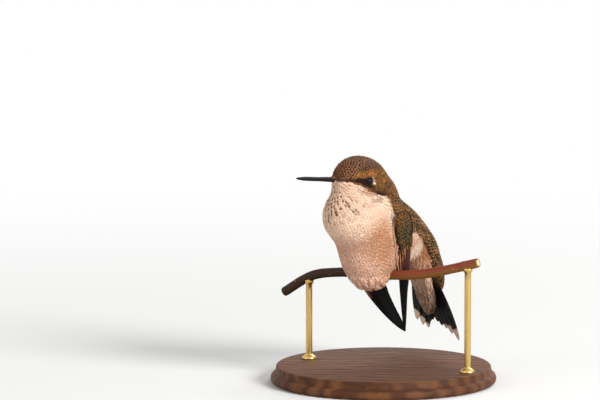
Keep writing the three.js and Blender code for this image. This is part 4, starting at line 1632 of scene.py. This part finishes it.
tail_order = [(side, rank) for side in (1, -1) for rank in range(5)]
tail_blades = [tail_feather(side, rank) for side, rank in tail_order]
tail_tints = [edged(TAIL_PAINTS[rank], TAWNY, 0.75, side, 0.84) for side, rank in tail_order]
make_blades("tail_feathers", tail_blades, tail_tints, ("tail",))

# %% [markdown]
# Coverts hide the quills above and below the tail. They grow on small forms of their own, with
# the same functions as the coat, and all point down the tail.

# %% Forms of the tail coverts
TAIL_COVERTS = {
    "upper": [(6.6, 0, 4.0, (10.4, 4.9, 3.2))],
    "under": [(9.9, 1.4, -1.9, (12.4, 5.3, 2.3)), (5.2, -2.4, -1.7, (9, 4.4, 2.2))],
}
tail_ways = np.stack([TAIL_DOWN, TAIL_SIDE, -TAIL_BACK], axis=1)
covert_forms = {
    name: [(from_body(TAIL_ROOT) + TAIL_DOWN * along + TAIL_SIDE * aside + TAIL_BACK * out,
            np.array(half, float), tail_ways) for along, aside, out, half in parts]
    for name, parts in TAIL_COVERTS.items()
}


def surface_of_each(forms):
    """The forms' surface with tight joins between them."""
    surface = surface_of(forms[:1])
    for form in forms[1:]:
        surface = joined(surface, surface_of([form]))
    return surface


# %% [markdown]
# A patch of feathers on forms of its own is grown in the same steps as the coat. It also gets
# a small body of skin, so that nothing behind it shows between the feathers.

# %% A patch of feathers
PATCH_BODY = (48, 32)


def grown_patch(name, forms, lie, pitch, throws, seed, kind, long, wide, depth, high, colours,
                choose=None):
    """A patch of feathers on its own forms, with a body of skin below them."""
    centre, surface = forms[0][0], surface_of_each(forms)
    random = np.random.default_rng(seed)
    body = reach_out(surface, centre, round_pole(*PATCH_BODY), lambda p: -depth)
    tint, _, _, _ = colours(body, np.full(len(body), 0.5))
    make_piece(name + "_base", body, ball_faces(*PATCH_BODY), bpy.data.materials["skin_under_coat"],
               (), {"tint": with_alpha(tint * 0.9, 1.0)})
    start = scatter(surface, centre, pitch, throws, seed)
    if choose is not None:
        start = start[choose(start)]
    own = random.uniform(0, 1, len(start))
    room = pitch(start)
    low = -depth - ROOT_BELOW_SKIN
    start = start + normals_of(surface, start) * low
    lengths = room * long * random.uniform(0.9, 1.1, len(start))
    spines = grow(surface, lie, start, lengths, low, high)
    mesh = shapes(kind, spines, room * wide, own, random)
    points = mesh[0]
    centres = all_over(per_feather(spines[0][:, 5], points), points)
    owns = np.broadcast_to(per_feather(own, points), points.shape[:-1])
    finish = bronze_finish if kind == "vane" else soft_finish
    feather_piece(name, mesh, finish, start - centre, *colours(centres, owns))


# %% [markdown]
# The undertail coverts are pale, long and soft, with dark centres low down. The uppertail
# coverts are firm and bronze, with dull rims.

# %% Tail coverts
def down_tail(points):
    return (points - from_body(TAIL_ROOT)) @ TAIL_DOWN


def undertail_colours(points, own):
    down = down_tail(points)
    tint = over(all_over(BLUSH, points), 0.7 * soft_step(4, 14, down), CREAM)
    tint = over(tint, 0.4 * soft_step(0.6, 1, own), SAND)
    band = 0.15 + 0.5 * soft_step(9, 15, down) * (own > 0.3)
    return tint, all_over(CREAM, points), np.full_like(own, 0.5), band


def uppertail_colours(points, own):
    tint = over(all_over(OLIVE, points), 0.3 + 0.5 * own, BRONZE) * column(0.55 + 0.35 * own)
    return tint, all_over(TAWNY, points), 0.2 + 0.6 * own, np.full_like(own, 0.8)


for where, apart, throws, seed, shape, colours in (
        ("under", 1.5, 6000, 21, ("fan", 4.6, 0.8, 0.5, 0.1), undertail_colours),
        ("upper", 1.6, 5000, 22, ("vane", 3.0, 0.68, 0.4, 0.05), uppertail_colours)):
    grown_patch(where + "tail_coverts", covert_forms[where], lambda points: all_over(TAIL_DOWN, points),
                lambda points: np.full(len(points), apart), throws, seed, *shape, colours)

# %% [markdown]
# ## Wings
# Each folded wing is a stack: ten long primaries that bow down to the tip, a few short
# secondaries over their roots, and rows of small bronze coverts like fish scales. Pale lines on
# some primaries are painted highlights, and the near wing's pale front line is partly its own
# edge and partly a painted sunlit highlight. The far wing's primaries start one below the other.

# %% The wings
PRIMARY_TIPS = (1, 0.985, 0.94, 0.89, 0.835, 0.785, 0.74, 0.7, 0.665, 0.64)
PRIMARY_STEP, DARK_FROM = 0.1, 18
LEADING_EDGE = ((0.8, 0.3, -0.9), (2, -0.4, -0.7), (3.4, -1.1, -0.2), (5.8, -1.6, 0.4),
                (8.2, -1.85, 0.75), (12.4, -2, 0.95), (15.4, -1.7, 0.8), (17.8, -1.2, 0.5))
SECONDARY_ENDS, SECONDARY_WIDTH = (14.2, 13.9, 13.6, 13.2, 12.8, 12.6), 2.7
SECONDARY_LIGHTS = (blend(GOLD, BUFF_EDGE, 0.4),) * 4 + (OLIVE,) * 2


def on_wing(wing, a, b, c):
    """A place counted from the wing's bend: down the wing, across it and outwards."""
    bend, along, back, outward, _ = wing_frame(wing)
    return bend + along * a + back * b + outward * c


def primary_outline(share):
    return np.minimum(1, 0.55 + share * 2) * np.maximum(np.sqrt(np.clip(1 - share**3, 0, 1)), 0.14)


def primary(wing, k):
    """One long feather and its paint, counted from the front."""
    _, _, back, outward, reach = wing_frame(wing)
    share, high = PRIMARY_TIPS[k], k * PRIMARY_STEP
    root = on_wing(wing, k * wing["stagger"], wing["width"] * 0.4 + k * wing["roots"], high)
    end = on_wing(wing, reach * share, k * wing["tips"], high)
    turn = DARK_FROM / (reach * share)
    tint = bands((0, DUSK), (0.5 * turn, MAROON), (turn, MAROON), (1.2 * turn, INK), (1, INK))
    if k == 0:
        # the front primary's garnet edge is its own colour; its peach edge is partly its own pale edge
        # and partly a painted sunlit highlight
        tint = edged(edged(tint, GARNET, 0.6, -1, 0.55), PEACH, 0.6, -1, 0.74)
    elif k % 3 == 0:
        # painted highlight: the pale pink line on every third primary stands for light caught along the
        # folded wing
        tint = edged(tint, PINK_EDGE_AND_HIGHLIGHT, 0.6, -1, 0.82)
    made = blade(root, end, back, outward, wing["width"], primary_outline, wing["bow"],
                 -wing["sweep"], -0.7)
    return made, tint


def leading_line(wing):
    """The narrow pale blade along the front of the near wing, its peach edge partly a painted sunlit
    highlight.
    """
    _, _, back, outward, _ = wing_frame(wing)
    line = smooth_line([on_wing(wing, *place) for place in LEADING_EDGE], BLADE_STATIONS)
    share = shares(BLADE_STATIONS)
    half = 0.42 * np.sin(np.pi * (0.06 + 0.9 * share)) ** 0.4
    # the peach edge is partly the wing's own pale edge and partly a painted sunlit highlight
    tint = edged(bands((0, GARNET), (1, MAROON)), PEACH, 3, -1, -0.2)
    return blade_along(clear_of_stem(line), share, back, half, outward), tint


def secondary(wing, j):
    _, _, back, outward, _ = wing_frame(wing)
    root = on_wing(wing, 1.5, 1.6 + 0.72 * j, 0.5 + 0.05 * j)
    end = on_wing(wing, SECONDARY_ENDS[j], 1.2 + 0.82 * j, 1.0 + 0.1 * j)
    tint = centred(bands((0, DUSK), (0.7, SOOT), (1, DUSK)), SECONDARY_LIGHTS[j])
    return blade(root, end, back, outward, SECONDARY_WIDTH, leaf(0.6, 0.35, 0.5), 0.25), tint


# %% [markdown]
# The wing's small coverts grow with the same function as the tail's. They fan out from the
# wing's bend, get longer down the wing, and only its outer side carries them.

# %% Wing coverts, and both wings
COVERTS_END, COVERTS_INSIDE = 6.5, -0.7
COVERT_SIZES = ((-3, 3, 9), (0.8, 1.0, 1.5))


def wing_coverts(name, wing, seed):
    bend, along, _, outward, _ = wing_frame(wing)
    forms = wing_cover(wing)
    middle = forms[0][0]

    def down(points):
        return (points - bend) @ along

    def sizes(points):
        return np.interp(down(points), *COVERT_SIZES)

    def colours(points, own):
        tint = over(all_over(OLIVE, points), 0.3 + 0.4 * own, BRONZE)
        tint = over(tint, 0.6 * soft_step(4, -1, down(points)), GOLD) * column(0.4 + 0.4 * own)
        rim = all_over(blend(BUFF_EDGE, GOLD, 0.5), points)
        rim = over(rim, 0.7 * soft_step(1, 5, down(points)), OLIVE)
        return tint, rim, 0.45 + 0.4 * own, np.full_like(own, 0.85)

    def choose(points):
        return (down(points) < COVERTS_END) & ((points - middle) @ outward > COVERTS_INSIDE)

    def lie(points):
        from_top = unit(points - (middle - along * (COVERT_HALF[0] + 1)))
        return unit(blend(from_top, all_over(along, points), column(soft_step(0, 5, down(points)))))

    grown_patch(f"wing_{name}_coverts", forms, lie, sizes, 7000, seed, "vane", 2.9, 0.66, 0.25, 0.05,
                colours, choose)


for (name, wing), seed in zip(WINGS.items(), (31, 32)):
    long_ones = [primary(wing, k) for k in range(len(PRIMARY_TIPS))]
    if name == "left":
        long_ones.append(leading_line(wing))
    make_blades(f"wing_{name}_primaries", *zip(*long_ones), (f"wing_{name}",))
    short_ones = [secondary(wing, j) for j in range(len(SECONDARY_ENDS))]
    make_blades(f"wing_{name}_secondaries", *zip(*short_ones))
    wing_coverts(name, wing, seed)

# %% [markdown]
# ## Stem
# The perch is a smooth, live stem, reddened by the sun on top and olive brown below. Its left
# end is painted darker, a painted shadow of the bird that sits over it. It is a tube swept along
# its middle line, with faint swellings where leaves once grew and two clean cuts at the ends.

# %% The stem
def stem_recipe():
    r = Recipe("stem_bark", Roughness=0.5, Specular_IOR_Level=0.2)
    top, run, cut = r.parts()
    streak = r.noise(260, 4, stretch=(0.12, 0.12, 1.0))
    fine = r.noise(3500, 3, stretch=(0.15, 0.15, 1.0))
    level = r.plus(top, r.times(r.maths("SUBTRACT", streak, 0.5), 0.8))
    red = r.mix(streak, stain(112, 52, 34), stain(148, 74, 48))
    # painted shadow: the left part of the stem, where the bird's shadow falls, is painted darker on top
    # and below
    red = r.mix(r.ramp(run, 0.5, 0.4), red, stain(58, 32, 18))
    below = r.mix(r.ramp(run, 0.5, 0.4), stain(130, 88, 38), stain(54, 34, 14))
    colour = r.mix(r.ramp(level, -0.35, 0.1), below, red)
    colour = r.mix(r.ramp(r.spots(420.0), 0.14, 0.06, 0.0, 0.5), colour, stain(220, 172, 128))
    wood = r.mix(fine, stain(190, 176, 120), stain(226, 216, 170))
    colour = r.mix(r.ramp(cut, 0.2, 0.6), colour, wood)
    return r.finish(Base_Color=colour, Roughness=r.ramp(fine, 0.3, 0.7, 0.42, 0.6),
                    Normal=r.bump(fine, 0.00006, 0.6))


STEM_AROUND, STEM_RIPPLE, CUT_ROUNDING = 32, 0.012, 0.9
SWELLINGS = ((0.05, 0.93, 0.012), (0.03, 0.1, 0.015))
stem_run = shares(len(perch_line))
girth = 1 + STEM_RIPPLE * np.sin(stem_run * 41)
for high, place, wide in SWELLINGS:
    girth = girth + high * np.exp(-((stem_run - place) / wide) ** 2)
girth = PERCH_RADIUS * girth
girth[[0, -1]] *= CUT_ROUNDING
girth = np.concatenate([[0.5], girth, [0.5]])
ends = perch_line[[0, -1]] - 1e-3 * (perch_line[[1, -2]] - perch_line[[0, -1]])
stem_line = np.concatenate([ends[:1], perch_line, ends[1:]])
stem_points = sweep(stem_line, all_over(UP, stem_line), girth, girth, STEM_AROUND)
stem_runs = np.concatenate([[0], stem_run, [1]])[:, None]
stem_values = together(np.sin(circle(STEM_AROUND)), stem_runs, (girth < 1)[:, None].astype(float))
make_piece("perch_stem", stem_points, tube_faces(1, len(girth), STEM_AROUND), stem_recipe(),
           ("perch",), {"vane": stem_values})

# %% [markdown]
# ## Feet
# A hummingbird's feet are tiny: three toes in front of the stem and one behind it, each with
# scaled pads and a long, thin claw. The toes are tubes bent round the stem, whose girth swells
# at each pad, and the claws are curved cones that go on round it.

# %% Toes and claws
FOOT_SPACING, TOE_RADIUS, TOE_APART = 2.83, 0.42, 1.09
TOE_RING = PERCH_RADIUS + 0.3 + TOE_RADIUS
TOE_STATIONS, TOE_AROUND, CLAW_STATIONS, CLAW_AROUND = 26, 12, 16, 10
SHANK_TO = np.array([-3.3, 0, 5.2]) @ BODY_WAYS.T


def foot_recipe():
    r = Recipe("foot_skin", Roughness=0.55)
    _, run, _ = r.parts()
    rings = r.maths("SINE", r.times(run, 90.0))
    grain = r.noise(3000, 3)
    colour = r.mix(r.ramp(rings, -0.9, 0.2), stain(22, 17, 16), stain(62, 50, 44))
    colour = r.mix(r.times(grain, 0.4), colour, stain(90, 70, 58))
    return r.finish(Base_Color=colour, Normal=r.bump(rings, 0.00004, 0.8))


def claw_recipe():
    r = Recipe("claw_horn", Roughness=0.3)
    grain = r.noise(2000, 3)
    return r.finish(Base_Color=r.mix(grain, stain(20, 16, 15), stain(64, 50, 42)),
                    Normal=r.bump(grain, 0.00002, 0.4))


def stem_at(x):
    """The middle of the stem at a place across the stand."""
    return np.array([np.interp(x, perch_line[:, 0], perch_line[:, axis]) for axis in range(3)])


def round_stem(x, angles, radius):
    """Points at angles round the stem, measured from its top towards the bird's front."""
    near = np.argmin(np.abs(perch_line[:, 0] - x))
    axis = unit(perch_line[near + 1] - perch_line[near - 1])
    upright = unit(UP - axis * (UP @ axis))
    ahead = np.cross(upright, axis)
    out = upright * column(np.cos(angles)) + ahead * column(np.sin(angles))
    return stem_at(x) + out * column(radius), out


def toe(x, start, end):
    """A tube of pads that bends round the stem, from one angle to another."""
    run = shares(TOE_STATIONS)
    line, out = round_stem(x, blend(start, end, run) * DEG, TOE_RING - 0.03)
    pads = 0.37 + 0.05 * np.cos(run * 3.2 * 2 * np.pi) ** 2 - 0.08 * run
    pads[0] *= 0.5
    pads[-1] *= 0.55
    return sweep(line, out, pads, pads, TOE_AROUND)


def claw(x, end):
    """A curved cone that leaves a toe's end and goes on round the stem."""
    run = shares(CLAW_STATIONS)
    angles = blend(end - 6 * np.sign(end), end + 36 * np.sign(end), run) * DEG
    line, out = round_stem(x, angles, TOE_RING - 0.02 + 0.16 * np.sin(np.pi * run))
    horn = 0.24 * (1 - run) ** 0.8 + 0.025
    return sweep(line, out, horn * 0.8, horn, CLAW_AROUND)


def shank(x):
    """The short leg from the toes' meeting place up into the belly feathers."""
    top, _ = round_stem(x, np.array([0.0]), TOE_RING)
    run = shares(TOE_STATIONS)
    line = top + SHANK_TO * run[:, None]
    half = 0.42 + 0.14 * np.exp(-(run / 0.14) ** 2)
    half[0] *= 0.4
    return sweep(line, all_over(BODY_WAYS[:, 0], line), half, half, TOE_AROUND)


foot_finish, claw_finish = foot_recipe(), claw_recipe()
for side, out in SIDES.items():
    x = PERCH_CROSSES[0] + out * FOOT_SPACING
    toes = [(x - TOE_APART, 2, 118), (x, 2, 126), (x + TOE_APART, 2, 118), (x, -2, -104)]
    tubes = [toe(*each) for each in toes] + [shank(x)]
    claws = [claw(at, end) for at, _, end in toes]
    run = shares(TOE_STATIONS)[:, None]
    values = np.stack([together(0.0, run, np.zeros(TOE_AROUND))] * len(tubes))
    make_piece(f"foot_{side}_toes", np.stack(tubes), tube_faces(len(tubes), TOE_STATIONS, TOE_AROUND),
               foot_finish, (f"foot_{side}",), {"vane": values})
    make_piece(f"foot_{side}_claws", np.stack(claws), tube_faces(len(claws), CLAW_STATIONS, CLAW_AROUND),
               claw_finish)

# %% [markdown]
# ## Stand
# The stem is held where the plant once held it: by two brass rods in a turned walnut base.
# Both are turned shapes, so a profile is spun round an axis. Small collars hide the holes that
# the rods stand in.

# %% The stand
def spin(profile, around, centre=(0.0, 0.0)):
    """A closed body turned from a profile of radius and height pairs, from its foot to its top."""
    profile = np.array(profile, float)
    ring = together(np.cos(circle(around)), np.sin(circle(around)))
    flat = profile[:, 0][:, None, None] * ring[None] + centre
    high = np.broadcast_to(profile[:, 1][:, None, None], (*flat.shape[:2], 1))
    return np.concatenate([flat, high], axis=-1)


def walnut_recipe():
    r = Recipe("walnut", Roughness=0.6, Specular_IOR_Level=0.15)
    bend = r.noise(24, 3, stretch=(0.25, 1.0, 1.0))
    pores = r.noise(1400, 2, stretch=(0.06, 1.0, 1.0))
    grain = {"Vector": r.place(), "Scale": 62.0, "Distortion": 7.0, "Detail": 3.0, "Detail Scale": 1.6}
    waves = r.add("TexWave", grain, wave_type="BANDS", bands_direction="Y")
    colour = r.mix(waves.outputs["Fac"], stain(78, 46, 28), stain(120, 76, 46))
    colour = r.mix(r.ramp(bend, 0.35, 0.7, 0.0, 0.5), colour, stain(62, 36, 24))
    colour = r.mix(r.ramp(pores, 0.62, 0.75, 0.0, 0.6), colour, stain(40, 24, 16))
    return r.finish(Base_Color=colour, Roughness=r.ramp(pores, 0.4, 0.7, 0.55, 0.7),
                    Normal=r.bump(pores, 0.00008, 0.4))


def brass_recipe():
    r = Recipe("brass", Metallic=1.0, Roughness=0.28)
    brush = r.noise(900, 3, stretch=(4.0, 4.0, 0.05))
    cloud = r.noise(90, 2)
    colour = r.mix(cloud, stain(196, 160, 92), stain(214, 182, 116))
    return r.finish(Base_Color=colour, Roughness=r.ramp(brush, 0.2, 0.8, 0.22, 0.42),
                    Normal=r.bump(brush, 0.00002, 0.5))


BASE_RADIUS, BASE_HEIGHT, BASE_BEAD, BASE_STEP, BASE_EDGE = 38.0, 6.0, 3.4, 1.8, 0.6
ROD_RADIUS, ROD_X = 1.1, (-25.0, 27.8)
ROUND_STEPS, BASE_AROUND, ROD_AROUND = 6, 144, 40


def quarter_round(middle, height, radius, start):
    """Points of a quarter circle in the profile, from an angle that is counted from outwards."""
    turns = start + np.linspace(0, math.pi / 2, ROUND_STEPS)
    return [(middle + radius * math.cos(a), height + radius * math.sin(a)) for a in turns]


bead, disc = BASE_BEAD / 2, BASE_RADIUS - BASE_STEP
base_profile = [
    (0.5, 0),
    *quarter_round(BASE_RADIUS - bead, bead, bead, -math.pi / 2),
    *quarter_round(BASE_RADIUS - bead, bead, bead, 0.0),
    *quarter_round(disc - BASE_EDGE, BASE_HEIGHT - BASE_EDGE, BASE_EDGE, 0.0),
    (0.5, BASE_HEIGHT),
]
make_piece("stand_base_turned", spin(base_profile, BASE_AROUND),
           tube_faces(1, len(base_profile), BASE_AROUND), walnut_recipe(), ("stand_base",))


def rod_profile(top):
    """A foot collar, a plain rod and a small cup under the stem."""
    foot, start = BASE_HEIGHT, BASE_HEIGHT + 1.5
    collar = [(0.1, foot - 0.3), (2.3, foot - 0.3), (2.45, foot + 0.1), (2.45, foot + 0.5),
              (2.1, foot + 0.9), (1.35, start), (ROD_RADIUS, start + 0.1)]
    plain = [(ROD_RADIUS, high) for high in np.linspace(start + 0.3, top - 1.6, 12)]
    cup = [(1.5, top - 1.3), (1.6, top - 0.4), (1.45, top), (0.1, top)]
    return [*collar, *plain, *cup]


brass = brass_recipe()
for side, x in zip(SIDES, ROD_X):
    near = stem_at(x)
    rod = rod_profile(near[2] - PERCH_RADIUS * 0.55)
    make_piece(f"stand_rod_{side}_brass", spin(rod, ROD_AROUND, near[:2]),
               tube_faces(1, len(rod), ROD_AROUND), brass, (f"stand_rod_{side}",))

# %% [markdown]
# ## Floor and light
# The studio is plain: a pale round floor, a large soft lamp in front and to the bird's left, a
# weaker one from the other side, a small one behind, and a white surround. The floor's middle is
# matt and takes the shadow. Further out it melts into the surround's white, so that no horizon
# shows. Things seen or mirrored get the full white, but it lights them more weakly.

# %% The studio
FLOOR_RADIUS, MELT_FROM, MELT_TO = 1.6, 0.06, 0.5
LIT = Vector((0, 0, 0.05))
SURROUND_LIGHT = 0.38


def floor_recipe():
    r = Recipe("studio_floor", Roughness=0.9, Specular_IOR_Level=0.1)
    cloud = r.noise(3, 2)
    far = r.add("VectorMath", {0: r.place()}, operation="LENGTH").outputs["Value"]
    white = r.add("Emission", {"Color": (1, 1, 1, 1), "Strength": 1.0})
    share = r.times(r.ramp(far, MELT_FROM, MELT_TO), r.add("LightPath").outputs["Is Camera Ray"])
    blended = r.add("MixShader", {0: share, 1: r.shader.outputs[0], 2: white.outputs[0]})
    r.feed(r.tree.nodes["Material Output"].inputs["Surface"], blended.outputs[0])
    return r.finish(Base_Color=r.mix(cloud, stain(238, 238, 236), stain(242, 242, 240)))


rim = [(FLOOR_RADIUS * math.cos(a), FLOOR_RADIUS * math.sin(a), 0.0) for a in circle(96)]
floor_mesh = bpy.data.meshes.new("studio_floor")
floor_mesh.from_pydata(rim, [], [tuple(range(len(rim)))])
floor_mesh.materials.append(floor_recipe())
floor = put("studio_floor", floor_mesh)


def softbox(name, power, size, place):
    """A round lamp that looks at the bird."""
    lamp = bpy.data.lights.new(name, "AREA")
    lamp.shape = "DISK"
    lamp.size, lamp.energy = size, power
    put(name, lamp, place, (Vector(place) - LIT).to_track_quat("Z", "Y").to_euler())


softbox("key_softbox", 24, 0.6, (0.95, -0.9, 0.7))
softbox("fill_softbox", 3, 0.9, (-1.1, -0.7, 0.6))
softbox("rim_softbox", 5, 0.5, (0.5, 0.9, 0.9))

world = bpy.data.worlds.new("studio")
bpy.context.scene.world = world
world.use_nodes = True
surround = world.node_tree.nodes["Background"]
surround.inputs["Color"].default_value = (1, 1, 1, 1)
sky = Nodes(world.node_tree)
rays = sky.add("LightPath").outputs
seen = sky.maths("MAXIMUM", rays["Is Camera Ray"], rays["Is Glossy Ray"])
seen = sky.maths("MAXIMUM", seen, rays["Is Transmission Ray"])
sky.feed(surround.inputs["Strength"],
         sky.add("MapRange", {"Value": seen, "To Min": SURROUND_LIGHT, "To Max": 1.0}))

# %% [markdown]
# The camera has a long lens and stands two metres away, a little above the bird, so that near and
# far parts keep their true proportions, as in a portrait.

# %% The camera
CAMERA_DROP, CAMERA_FAR = 8 * DEG, 2.0
AIM = Vector((-0.0281, 0.0, 0.0619))
camera = bpy.data.cameras.new("long_lens")
camera.sensor_width, camera.lens, camera.clip_end = 36, 358, 20
place = AIM + Vector((0, -math.cos(CAMERA_DROP), math.sin(CAMERA_DROP))) * CAMERA_FAR
bpy.context.scene.camera = put("long_lens", camera, place, (math.pi / 2 - CAMERA_DROP, 0, 0))
bpy.context.scene.view_settings.view_transform = "Standard"
